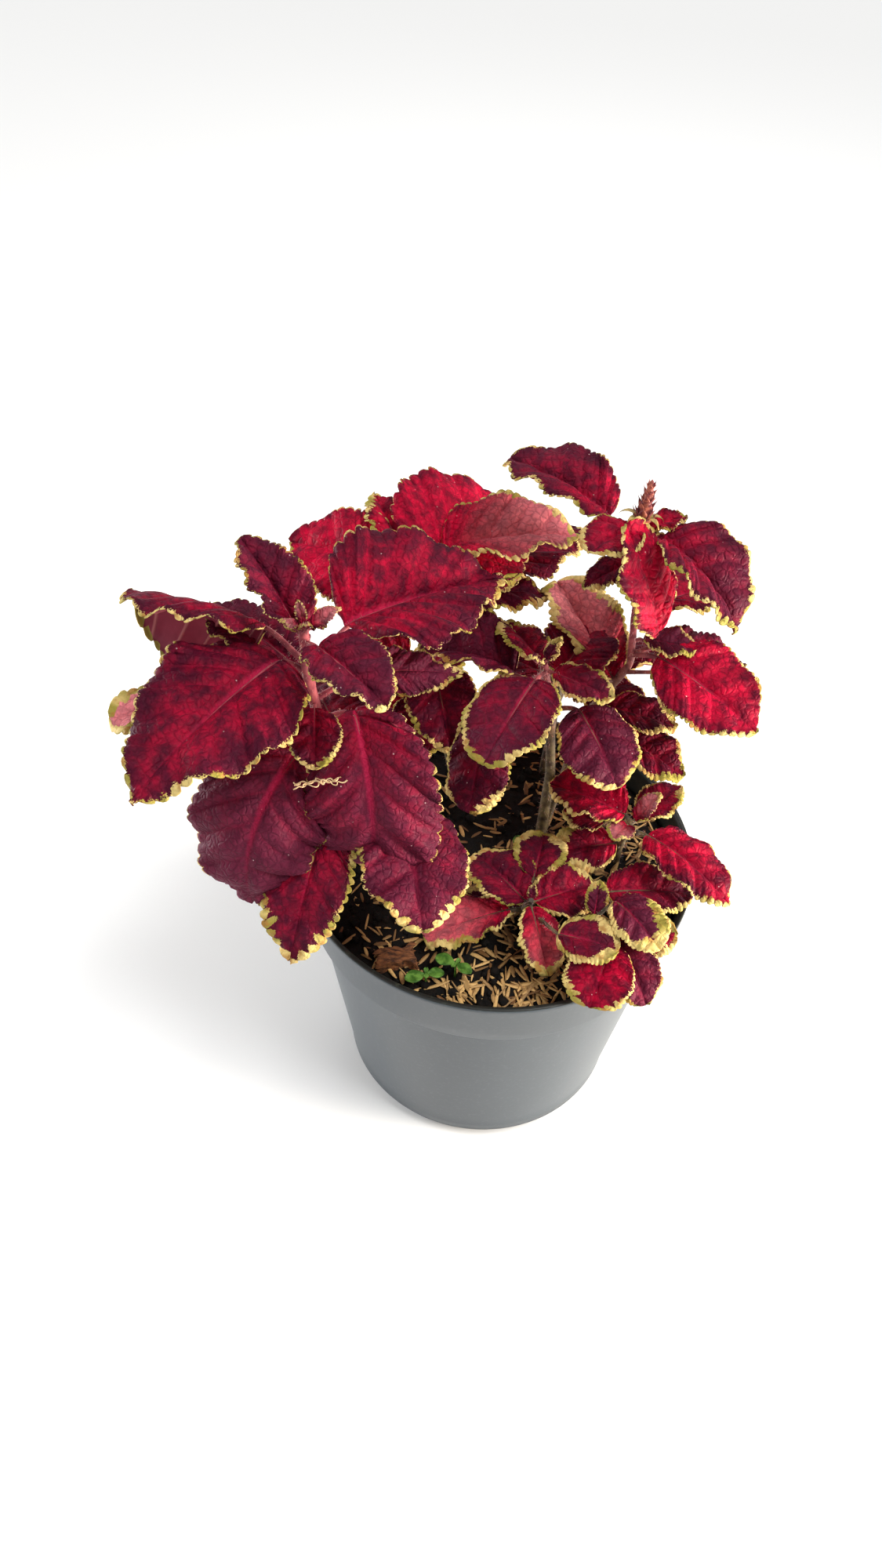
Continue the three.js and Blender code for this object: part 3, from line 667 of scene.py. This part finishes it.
def addPlant(plan):
    name = plan["node"]
    runs = [(plan["route"], plan["radius"], plan["leaves"])]
    if "branch" in plan:
        runs.append((plan["branch"], 1.9, plan["branchLeaves"]))
    bm = bmesh.new()
    layers = {
        "uv": bm.loops.layers.uv.new("leaf"),
        "look": bm.verts.layers.float_color.new("look"),
        "rib": bm.verts.layers.float.new("rib"),
    }
    curve = startCurve(name + "_stalks", 2)
    curve.use_fill_caps = True
    paths = []
    for route, radius, leaves in runs:
        paths.append(addStem(curve, route, radius, leaves))
        for row in leaves:
            paths.append(addStalk(curve, route, row))
            addLeaf(bm, route, row, layers)
    piece = finish(bm, name + "_leaves", [finishes["top"], finishes["back"]], name)
    wall = piece.modifiers.new("thickness", "SOLIDIFY")
    wall.thickness = leafShape["thick"] * mm
    wall.offset = -1
    wall.material_offset = 1
    settle(curve.name, curve, [finishes["stem"], finishes["stalk"]], name)
    addHairs(name + "_hairs", paths, name)
    print("coleus:", name, "grown")


leftStem = {
    "node": "left_stem",
    "radius": 2.7,
    "route": [
        (-40, 8, 118), (-40, 8, 152), (-60, -6, 200), (-77, -20, 240), (-81, -25, 280), (-81, -28, 304),
    ],
    "leaves": [
        (302, 20, 3, 14, 10, 30, 10, 0, 20, 0, 0.8, 0.6, 0.35, -0.45),
        (303, 200, 2, 9, 6, 40, 10, 0, 20, 0, 0.8, 0.6, 0.3, -0.5),
        (304, 110, 2, 9, 5, 55, 10, 0, 20, 0, 0.8, 0.6, 0.3, -0.4),
        (304, 290, 2, 8, 5, 50, 10, 0, 20, 0, 0.8, 0.6, 0.3, -0.5),
        (298, 132, 4, 43, 29, 32, 16, 4, 32, 0, 0.7, 0.5, 0.4, 0.3),
        (296, 312, 9, 43, 32, -2, 22, 0, 22, 0, 0.7, 0.62, 0.5, 0.45),
        (280, 236, 12, 84, 62, -9, 26, -4, 4, -66, 0.9, 0.58, 0.8, 0.08),
        (276, 38, 27, 92, 70, -9.5, 24, 13, 21, 22, 1.4, 0.58, 0.5, 0.08),
        (284, 162, 22, 58, 60, 0, 20, 72, -43, -18, 0.45, 0.49, 1, 0.1),
        (274, 140, 10, 50, 40, 4, 20, 10, 10, 0, 0.8, 0.36, 0.7, 0.3),
        (262, 275, 6, 26, 22, -30, 20, 0, 5, 0, 0.6, 0.41, 1.2, 0.1),
        (264, 22, 22, 46, 22, -17, 20, 36, -16, 0, 0.8, 0.28, 1, 0.5),
        (252, 286, 16, 101, 57, -78, 150, 20, -6, 74, 0.6, 0.7, 0.5, 0.6),
        (246, 192, 18, 68, 44, 8, 24, 0, 5, 0, 0.45, 0.77, 3.6, -0.75),
        (238, 239, 14, 84, 60, -57, 106, -28, -20, -7, 0.6, 0.36, 0.35, 0.6),
        (208, 254, 26, 75, 38, -42, 30, 0, 0, -7, 0.55, 0.45, 1.4, 0.1),
        (196, 281, 32, 60, 50, -14, 34, -18, 4, 22, 0.65, 0.4, 1.3, 0.35),
        (222, 110, 14, 50, 38, -15, 30, 0, 5, 0, 0.7, 0.36, 1.4, 0.1),
        (215, 170, 14, 48, 36, -25, 30, 0, 5, 0, 0.7, 0.36, 1.4, 0.1),
    ],
}
backStem = {
    "node": "back_stem",
    "radius": 2.7,
    "route": [(-20, 46, 118), (-20, 46, 152), (-32, 52, 210), (-42, 50, 260), (-44, 46, 280)],
    "leaves": [
        (280, 20, 2, 14, 10, 40, 10, 0, 20, 0, 0.8, 0.61, 0.7, 0.6),
        (280, 200, 2, 14, 10, 40, 10, 0, 20, 0, 0.8, 0.61, 0.7, 0.6),
        (266, 150, 12, 58, 46, -5, 24, -30, 6, 0, 0.7, 1.3, 0.7, 0),
        (274, 113, 8, 45, 23, 12, 20, 0, 20, 0, 0.7, 0.86, 1.1, 0),
        (270, 58, 10, 72, 70, -2, 24, 24, 10, 0, 0.9, 1.4, 0.6, 0),
        # This leaf's glow and pale rose are raised as painted light, since it faces away from the key light.
        (270, 12, 22, 64, 48, 0, 26, 2, 20, 40, 0.75, 1.9, 1.8, -0.55),
        (250, 44, 22, 84, 50, -3, 20, 0, 6, 0, 0.6, 0.45, 1, 0),
        (256, 17, 16, 50, 34, -12, 20, 0, 6, 0, 0.7, 0.3, 1.7, 0.1),
        (226, 285, 10, 44, 34, -28, 24, 0, 6, 0, 0.7, 0.32, 1.6, 0),
        (206, 250, 10, 40, 30, -30, 24, 0, 6, 0, 0.7, 0.32, 1.6, 0),
        (240, 110, 12, 62, 46, -20, 30, 0, 6, 0, 0.7, 0.69, 1.4, 0),
        (222, 165, 12, 52, 40, -25, 30, 0, 6, 0, 0.7, 0.53, 1.4, 0),
        (200, 100, 14, 42, 36, -25, 30, 0, 6, 0, 0.7, 0.45, 1.6, 0),
    ],
}
middleStem = {
    "node": "middle_stem",
    "radius": 2.7,
    "route": [(23, 13, 118), (23, 13, 152), (24, 15, 190), (21, 18, 225), (15, 17, 255)],
    "branch": [(24, 15, 186), (38, 31, 212), (56, 37, 240), (52, 34, 290), (48, 30, 322)],
    "leaves": [
        (255, 40, 2, 12, 8, 50, 10, 0, 20, 0, 0.8, 0.36, 1, 0.8),
        (255, 220, 2, 10, 7, 45, 10, 0, 20, 0, 0.8, 0.36, 0.8, 0.9),
        (250, 242, 14, 48, 41, -16, 22, 12, 4, 5, 0.55, 0.45, 2.0, 0.3),
        (252, 118, 4, 32, 23, -4, 16, 12, 10, 0, 0.55, 0.57, 2.1, 0.1),
        (250, 335, 4, 29, 21, -8, 16, 4, 6, 0, 0.55, 0.69, 2.2, 0.35),
        (236, 160, 18, 47, 48, -2, 24, 2, 32, 0, 0.6, 0.3, 1.5, 0.35),
        (220, 260, 34, 48, 30, -50, 20, 10, -10, -66, 0.4, 0.24, 2.2, 0),
        (228, 298, 14, 41, 38, -25, 30, 0, 0, 40, 0.55, 0.2, 1.5, 0.35),
        (236, 62, 12, 46, 36, 0, 24, 0, 8, 0, 0.8, 0.49, 0.8, 0),
    ],
    "branchLeaves": [
        (306, 140, 18, 54, 42, 4, 18, 2, 22, 0, 0.55, 0.54, 0.7, 0.15),
        (316, 222, 4, 27, 25, -2, 20, 0, 6, 0, 0.5, 0.6, 1.6, 0),
        (314, 15, 4, 16, 14, 10, 10, 0, 15, 0, 0.7, 0.77, 0.7, 0),
        (310, 325, 9.6, 50, 44, -35, 50, 0, 26, -3, 0.7, 0.57, 1, 0.3),
        (268, 152, 30, 50, 42, 64, 18, 0, 6, 130, 0.5, 1.1, 1.3, 0),
        (296, 205, 6, 22, 16, -20, 20, 0, 10, 0, 0.7, 0.49, 0.8, 0.1),
        (246, 325, 14, 55, 47, -18, 24, 10, 6, 0, 0.7, 1.0, 0.9, 0),
        (254, 350, 5, 24, 20, -4, 10, 0, 10, 0, 0.5, 0.28, 1.7, 0.7),
        (246, 5, 14, 44, 30, -20, 20, 0, 5, 0, 0.7, 0.45, 1.1, 0.4),
        (232, 120, 2, 56, 38, 20, 18, 5, 22, 77, 0.4, 0.81, 3.4, -0.55),
        (236, 330, 20, 26, 12, -70, 20, 0, 10, 0, 0.7, 0.69, 1, 0),
        (216, 350, 8, 34, 26, -10, 20, 0, 8, 0, 0.6, 0.36, 1.9, 0),
        (206, 335, 20, 38, 32, -20, 20, 0, 8, 0, 0.6, 0.36, 2.4, 0),
        (280, 80, 10, 34, 28, -5, 24, 0, 12, 0, 0.7, 0.53, 1.1, 0),
        (264, 40, 12, 50, 38, -15, 30, 0, 8, 0, 0.7, 0.53, 1.2, 0),
        (226, 70, 12, 46, 36, -20, 30, 0, 8, 0, 0.7, 0.45, 1.6, 0),
    ],
}
sideStem = {
    "node": "side_stem",
    "radius": 1.9,
    "route": [(60, 2, 118), (60, 2, 152), (61, -6, 182)],
    "leaves": [
        (182, 20, 2, 18, 11, 50, 10, 0, 10, 0, 0.6, 0.6, 0.7, -0.5),
        (182, 160, 4, 38, 38, 7, 22, 0, 18, -29, 0.6, 1.0, 1.4, 0),
        (180, 235, 2, 15, 13, 10, 20, 0, 10, 0, 0.6, 0.6, 0.8, -0.5),
        (174, 318, 12, 50, 33, -12, 50, -10, 4, 0, 0.6, 0.85, 0.8, 0),
        (176, 40, 8, 28, 20, 5, 20, 0, 10, 0, 0.7, 0.61, 1.6, 0.1),
        (160, 195, 3, 30, 27, 0, 18, -10, 0, 0, 0.4, 0.77, 3.1, 0.2),
        (166, 160, 12, 20, 18, 0, 12, 0, 6, 0, 0.6, 0.53, 1.4, 0),
    ],
}
frontStem = {
    "node": "front_stem",
    "radius": 1.9,
    "route": [(14, -37, 118), (14, -37, 152), (16, -42, 166)],
    "leaves": [
        (165, 80, 1, 7, 5, 50, 10, 0, 10, 0, 0.8, 0.53, 0.6, 0.8),
        (160, 132, 2, 34, 34, 4, 14, 8, 10, 0, 0.5, 0.5, 1.8, 0.2),
        (160, 25, 3, 31, 27, -4, 16, 15, 6, 0, 0.4, 0.5, 2.0, 0.1),
        (152, 197, 8, 42, 32, -11, 18, 16, 4, 0, 0.35, 0.9, 3.0, -0.3),
        (162, 285, 3, 33, 24, -22, 20, -24, 8, 0, 0.5, 0.85, 2.4, -0.15),
        (156, 340, 29, 28, 27, 4, 30, 0, 6, -43, 0.4, 0.41, 6.6, 0.2),
        (158, 78, 14, 28, 26, 0, 16, 0, 8, 0, 0.4, 0.28, 3.4, 0.1),
        (150, 160, 3, 26, 16, 0, 16, 0, 8, 0, 0.5, 0.28, 2.6, 0),
    ],
}
lowStem = {
    "node": "low_stem",
    "radius": 1.9,
    "route": [(44, -50, 118), (44, -50, 152), (43, -53, 168)],
    "leaves": [
        (166, 80, 3, 16, 11, 30, 10, 0, 15, 0, 0.6, 0.36, 1.4, 0.8),
        (158, 252, 16, 34, 30, -3, 24, 0, 5, 44, 0.35, 0.85, 1.2, 0),
        (168, 310, 13, 30, 26, -12, 40, 0, 10, 87, 0.5, 0.28, 3.9, 0.7),
        (160, 8, 18, 42, 30, -8, 24, 0, 5, 60, 0.6, 0.62, 1.2, 0.2),
        (160, 5, 12, 29, 24, -8, 20, 20, 5, -40, 0.5, 0.61, 2.1, 0),
        (158, 298, 17, 30, 25, -25, 50, 0, 5, 10, 0.5, 0.49, 0.7, 0.4),
        (162, 320, 10, 15, 11, -20, 20, 0, 5, 0, 0.6, 0.36, 1.2, 0.4),
    ],
}
rearStem = {
    "node": "rear_stem",
    "radius": 1.9,
    "route": [(26, 62, 118), (26, 62, 152), (30, 70, 184), (30, 72, 204)],
    "leaves": [
        (204, 60, 2, 16, 11, 40, 10, 0, 15, 0, 0.7, 0.45, 1, 0.7),
        (204, 240, 2, 16, 11, 40, 10, 0, 15, 0, 0.7, 0.45, 1, 0.7),
        (196, 150, 8, 40, 32, 0, 20, 0, 10, 0, 0.6, 0.45, 1.7, 0.1),
        (196, 330, 8, 40, 32, 0, 20, 0, 10, 0, 0.6, 0.36, 1.7, 0.1),
        (186, 60, 10, 50, 38, -10, 24, 0, 6, 0, 0.6, 0.77, 2, 0),
        (172, 350, 12, 46, 36, -15, 24, 0, 6, 0, 0.6, 0.53, 2.2, 0),
        (172, 110, 12, 48, 36, -15, 24, 0, 6, 0, 0.6, 0.69, 2.2, 0),
    ],
}
rearLeftStem = {
    "node": "rear_left_stem",
    "radius": 1.9,
    "route": [(-56, 42, 118), (-56, 42, 152), (-64, 50, 180), (-66, 53, 204)],
    "leaves": [
        (204, 50, 2, 16, 11, 40, 10, 0, 15, 0, 0.7, 0.45, 1, 0.7),
        (204, 230, 2, 16, 11, 40, 10, 0, 15, 0, 0.7, 0.45, 1, 0.7),
        (196, 140, 8, 42, 32, 0, 20, 0, 10, 0, 0.6, 0.69, 1.7, 0),
        (184, 55, 10, 42, 32, -10, 24, 0, 6, 0, 0.6, 0.61, 1.7, 0),
        (184, 215, 10, 44, 34, -15, 24, 0, 6, 0, 0.6, 0.53, 2, 0),
        (170, 165, 12, 46, 34, -15, 24, 0, 6, 0, 0.6, 0.69, 2.2, 0),
        (170, 95, 12, 44, 34, -15, 24, 0, 6, 0, 0.6, 0.53, 2.2, 0),
    ],
}
plants = [leftStem, backStem, middleStem, sideStem, frontStem, lowStem, rearStem, rearLeftStem]
for plan in plants:
    addPlant(plan)
addTear()


spike = {
    "height": 318,
    "long": 21,
    "whorls": 6,
    "bracts": 5,  # in a whorl
    "lean": (-8, 6, 0),  # degrees about X, Y and Z
    "awn": 1.5,
    "collar": [(5, 10), (95, 7), (165, 11), (215, 9), (255, 8), (310, 10)],  # low bracts: turn and length
}


def addSpike():
    long = spike["long"]
    bm = lathe([(0, -3), (2.2, -2), (2.8, 4), (2.0, 12), (0.8, long - 3), (0, long - 2)], 12)
    for ring in range(spike["whorls"]):
        small = 1 - 0.1 * ring
        for i in range(spike["bracts"]):
            bract = bmesh.ops.create_uvsphere(bm, u_segments=8, v_segments=8, radius=1)["verts"]
            for vert in bract:
                high = vert.co.z
                slim = 1 - 0.85 * smooth(0.1, 1.0, high)
                vert.co.x = (vert.co.x * 0.5 * slim + 0.4 * high * high) * small
                vert.co.y *= 2.1 * slim * small
                vert.co.z = (3.3 * high + 2.7 + spike["awn"] * max(0.0, high) ** 6) * small
            bmesh.ops.scale(bm, vec=(mm, mm, mm), verts=bract)
            swing(bm, bract, 26, "Y")
            shift(bm, bract, (2.1 - 0.26 * ring, 0, 3 * ring))
            swing(bm, bract, 360 / spike["bracts"] * (i + ring / 2), "Z")
    for turn, long in spike["collar"]:
        bract = bmesh.ops.create_uvsphere(bm, u_segments=8, v_segments=12, radius=1)["verts"]
        for vert in bract:
            share = (vert.co.z + 1) / 2
            slim = 1 - 0.8 * smooth(0.3, 1.0, share)
            out, side = vert.co.x * 0.4 * slim, vert.co.y * 1.8 * slim
            bend = math.radians(35 + 130 * share)  # each starts upward and curls over like a hook
            reach = Vector((1 + long * 0.42 * (1 - math.cos(bend)), 0, long * 0.42 * math.sin(bend)))
            vert.co = (reach + Vector((out, side, 0))) * mm
        swing(bm, bract, turn, "Z")
        for face in {face for vert in bract for face in vert.link_faces}:
            face.material_index = 1
    for axis, angle in zip("XYZ", spike["lean"]):
        swing(bm, bm.verts, angle, axis)
    shift(bm, bm.verts, stemPoint(middleStem["branch"], spike["height"]))
    bmesh.ops.recalc_face_normals(bm, faces=bm.faces)
    skins = [finishes["bract"], finishes["goldBract"]]
    finish(bm, "middle_stem_flower_bud", skins, "middle_stem")


addSpike()

pot = {
    "steps": 160,
    "outside": [
        (31, 0), (33, 2), (61, 2), (62, 0), (66.4, 0), (67, 0.6), (67, 7.6), (67.6, 8.3),
        (71.2, 8.6), (71.8, 9.3), (72, 14), (73, 22), (87, 124.6), (87.2, 125.6), (90.2, 126.2),
        (90.6, 127), (93.9, 152.6), (95, 153.6), (95, 155.6), (94.6, 156),
    ],
    "inside": [
        (93, 156), (92.6, 155.6), (92.2, 153), (88.5, 128), (85.6, 126), (71.4, 22), (68.4, 11), (63, 5),
        (0, 5),
    ],
    "drainCircle": 45,
    "drainRadius": 5,
    "drains": 6,
}


def addPot():
    bm = lathe([(0, 0)] + pot["outside"] + pot["inside"], pot["steps"])
    for face in bm.faces:
        middle = face.calc_center_median()
        inward = face.normal.x * middle.x + face.normal.y * middle.y < 0
        lip = face.normal.z > 0.4 and middle.z > 0.153
        bottom = middle.xy.length < 64 * mm and face.normal.z > 0.5
        face.material_index = 1 if middle.z > 3 * mm and (inward or lip) or bottom else 0
    piece = finish(bm, "pot_shell", [finishes["pot"], finishes["lining"]], "pot")
    cutters = []
    for i in range(pot["drains"]):
        cut = bmesh.new()
        wide = pot["drainRadius"] * mm
        bmesh.ops.create_cone(cut, cap_ends=True, segments=32, radius1=wide, radius2=wide, depth=20 * mm)
        shift(cut, cut.verts, direction(360 / pot["drains"] * i + 30, 0) * pot["drainCircle"])
        cutters.append(show("drain", meshFrom(cut, "drain")))
        hole = piece.modifiers.new("drain", "BOOLEAN")
        hole.operation = "DIFFERENCE"
        hole.object = cutters[-1]
    bpy.context.view_layer.update()
    drilled = bpy.data.meshes.new_from_object(piece.evaluated_get(bpy.context.evaluated_depsgraph_get()))
    piece.modifiers.clear()
    piece.data = drilled
    for cutter in cutters:
        bpy.data.objects.remove(cutter)


addPot()
print("coleus: pot turned and drilled")

soil = {
    "profile": [(0, 5.3), (62.5, 5.3), (67.5, 12), (70.8, 23), (84.8, 126), (87.8, 130), (89.3, 141.5)],
    "level": 143,
    "rings": 44,
    "steps": 150,
    "crumbs": 1300,
    "husks": 1050,
}


def soilHeight(x, y):  # mm
    out = math.hypot(x, y)
    lumps = 1.3 * noise.noise(Vector((x, y, 3)) * 0.09) + 0.9 * noise.noise(Vector((x, y, 9)) * 0.3)
    return soil["level"] + 0.6 - 1.8 * (out / 89) ** 4 + lumps * smooth(92, 80, out)


def strewn(chance, reach):  # an even place within a circle, in mm
    out = reach * math.sqrt(chance.random())
    angle = math.tau * chance.random()
    return out * math.cos(angle), out * math.sin(angle)


def addSoil():
    low = soil["profile"]
    rim = low[-1][0]
    top = [(rim * (1 - i / soil["rings"]), soil["level"]) for i in range(1, soil["rings"] + 1)]
    bm = lathe(low + top, soil["steps"])
    for vert in bm.verts:
        if vert.co.z > 142 * mm:
            vert.co.z = soilHeight(vert.co.x / mm, vert.co.y / mm) * mm
    chance = random.Random(5)
    ball = template(bmesh.ops.create_icosphere, subdivisions=1, radius=1)
    for i in range(soil["crumbs"]):
        x, y = strewn(chance, 86)
        big = 0.5 + 2.3 * chance.random() ** 3
        middle = Vector((x, y, min(soilHeight(x, y), 144) + 0.2 * big))

        def lump(point):
            rough = noise.noise(point * big * 0.8 + Vector((i, 0, 0)))
            return (middle + point * big * (1 + 0.5 * rough)) * mm

        stamp(bm, ball, lump)
    finish(bm, "soil_peat", [finishes["peat"]], "soil")


def addHusks():
    bm = bmesh.new()
    tintLayer = bm.verts.layers.float.new("tint")
    chance = random.Random(11)
    grain = template(bmesh.ops.create_uvsphere, u_segments=6, v_segments=6, radius=1)
    laid = 0
    while laid < soil["husks"]:
        x, y = strewn(chance, 85)
        drift = smooth(-40, 70, x * 0.75 - y * 0.65)  # the straw gathers at the front right
        if chance.random() > 0.16 + 0.84 * drift:
            continue
        laid += 1
        long = chance.uniform(2.2, 4.8) + 4.2 * drift * chance.random()
        broad = chance.uniform(0.45, 1.3)
        bend = chance.uniform(-0.03, 0.03)
        tip = Matrix.Rotation(math.radians(90 + chance.uniform(-18, 18)), 3, "X")
        turn = Matrix.Rotation(math.tau * chance.random(), 3, "Z") @ tip
        middle = Vector((x, y, min(soilHeight(x, y), 144.4) + chance.uniform(0.3, 1.2)))
        tint = chance.random()

        def lay(point):
            along = point.z * long
            return (middle + turn @ Vector((point.x * broad, point.y * 0.3 + bend * along ** 2, along))) * mm

        for vert in stamp(bm, grain, lay):
            vert[tintLayer] = tint
    finish(bm, "soil_husks", [finishes["husk"]], "soil")


bark = {"x": -44, "y": -62, "long": 18.5, "wide": 13, "thick": 7.5, "turn": 12}


def addBark():
    bm = bmesh.new()
    bmesh.ops.create_cube(bm, size=1)
    bmesh.ops.subdivide_edges(bm, edges=bm.edges, cuts=13, use_grid_fill=True)
    bmesh.ops.scale(bm, vec=Vector((bark["long"], bark["wide"], bark["thick"])) * mm, verts=bm.verts)
    for vert in bm.verts:
        place = vert.co / mm
        ridge = 1.0 * noise.noise(Vector((place.x * 0.08, place.y * 0.6, place.z * 0.4)))
        chip = 0.9 * noise.noise(place * 0.4 + Vector((7, 0, 0)))
        place.x *= 0.86 + 0.45 * noise.noise(Vector((1, place.y * 0.4, place.z * 0.3)))
        place.y *= 0.8 + 0.6 * noise.noise(Vector((place.x * 0.16, 0, 4)))
        place.z *= 0.85 + 0.6 * noise.noise(Vector((place.x * 0.15, place.y * 0.12, 8)))
        vert.co = (place - place.normalized() * (0.2 + ridge + chip)) * mm
    swing(bm, bm.verts, bark["turn"], "Z")
    shift(bm, bm.verts, (bark["x"], bark["y"], soil["level"] + 2))
    finish(bm, "bark_chip_broken", [finishes["bark"]], "bark_chip", rounded=False)


seedlings = [(-30, -73, 7, 200), (-17, -69, 10, 160), (14, -4, 14, 110)]  # x, y, height, turn


def addSeedling(index, x, y, high, turn):
    bm = bmesh.new()
    stem = bmesh.ops.create_cone(
        bm, cap_ends=True, segments=10, radius1=0.7 * mm, radius2=0.4 * mm, depth=(high + 6) * mm,
    )["verts"]
    shift(bm, stem, (x, y, soil["level"] + high / 2 - 3))
    foot = Vector((x, y, soil["level"] + high - 0.6))
    for more, long, rise in ((0, 9.6, 1.0), (170, 8.0, 0.6), (75, 3.0, 2.6), (250, 2.4, 2.6)):
        leaf = bmesh.ops.create_grid(bm, x_segments=6, y_segments=10, size=1)["verts"]
        out = direction(turn + more, 5)
        side = out.cross(Vector((0, 0, 1))).normalized()
        for vert in leaf:
            s, v = 0.02 + 0.96 * (vert.co.y + 1) / 2, vert.co.x
            half = 0.33 * long * math.sin(math.pi * s ** 1.2) ** 0.8 + 0.2
            lie = 0.5 * abs(v) + rise * s - 1.8 * s * s
            vert.co = (foot + out * (long * s + 0.3) + side * (half * v) + Vector((0, 0, lie))) * mm
    bmesh.ops.recalc_face_normals(bm, faces=bm.faces)
    name = f"seedling_{index}"
    piece = finish(bm, name + "_green", [finishes["green"]], name)
    wall = piece.modifiers.new("thickness", "SOLIDIFY")
    wall.thickness = 0.35 * mm
    wall.offset = -1


addSoil()
addHusks()
addBark()
for number, seedling in enumerate(seedlings, 1):
    addSeedling(number, *seedling)
print("coleus: soil, husks, bark and seedlings laid")

studio = {
    "floor": "#f4f4f3",
    "keyFrom": (0.62, -0.32, 1.15),
    "key": 2.1,
    "keySpread": 26,  # degrees, a large soft box
    "lamps": [  # place and size in metres, watts, colour
        ((-0.9, -0.7, 1.1), 1.0, 3, "#ffffff"),
        ((0.8, -0.2, 0.16), 0.3, 16, "#fff2e2"),
        ((-0.8, 0.25, 0.2), 0.4, 6, "#ffffff"),
        ((0.2, 1.1, 1.2), 1.0, 4, "#ffffff"),
    ],
    "sky": 0.42,
}
camera = {"place": (-27, -375.5, 580), "pitch": 45.7, "roll": 2.5, "lens": 27.0, "film": 36.0}


def addStudio():
    bm = bmesh.new()
    bmesh.ops.create_grid(bm, x_segments=1, y_segments=1, size=4)
    floor = show("studio_floor", meshFrom(bm, "studio_floor"))
    paper = startMaterial("seamless paper, pale", Roughness=0.9, Base_Color=linear(studio["floor"]))[0]
    floor.data.materials.append(paper)
    for i, (place, size, power, tint) in enumerate(studio["lamps"]):
        light = bpy.data.lights.new(f"soft_box_{i}", "AREA")
        light.shape, light.size, light.energy = "DISK", size, power
        light.color = linear(tint)[:3]
        lamp = show(light.name, light)
        lamp.location = place
        lamp.rotation_euler = (Vector((0, 0, 0.15)) - Vector(place)).to_track_quat("-Z", "Y").to_euler()
    light = bpy.data.lights.new("key_light", "SUN")
    light.energy, light.angle = studio["key"], math.radians(studio["keySpread"])
    key = show("key_light", light)
    key.rotation_euler = Vector(studio["keyFrom"]).to_track_quat("Z", "Y").to_euler()
    world = bpy.data.worlds.new("pale_room")
    world.use_nodes = True
    air = world.node_tree.nodes["Background"].inputs
    air[0].default_value, air[1].default_value = (1, 1, 1, 1), studio["sky"]
    scene.world = world
    scene.view_settings.view_transform = "Standard"
    scene.view_settings.look = "None"


def addCamera():
    lens = bpy.data.cameras.new("camera")
    lens.sensor_fit, lens.sensor_height, lens.lens = "VERTICAL", camera["film"], camera["lens"]
    lens.clip_start = 0.01
    eye = show("camera", lens)
    pitch, roll = math.radians(camera["pitch"]), math.radians(camera["roll"])
    ahead = Vector((0, math.cos(pitch), -math.sin(pitch)))
    level = Vector((1, 0, 0))
    up = level.cross(ahead)
    across = level * math.cos(roll) + up * math.sin(roll)
    top = up * math.cos(roll) - level * math.sin(roll)
    turn = Matrix((across, top, -ahead)).transposed().to_4x4()
    eye.matrix_world = Matrix.Translation(Vector(camera["place"]) * mm) @ turn
    scene.camera = eye


addStudio()
addCamera()
print("coleus: studio lit")
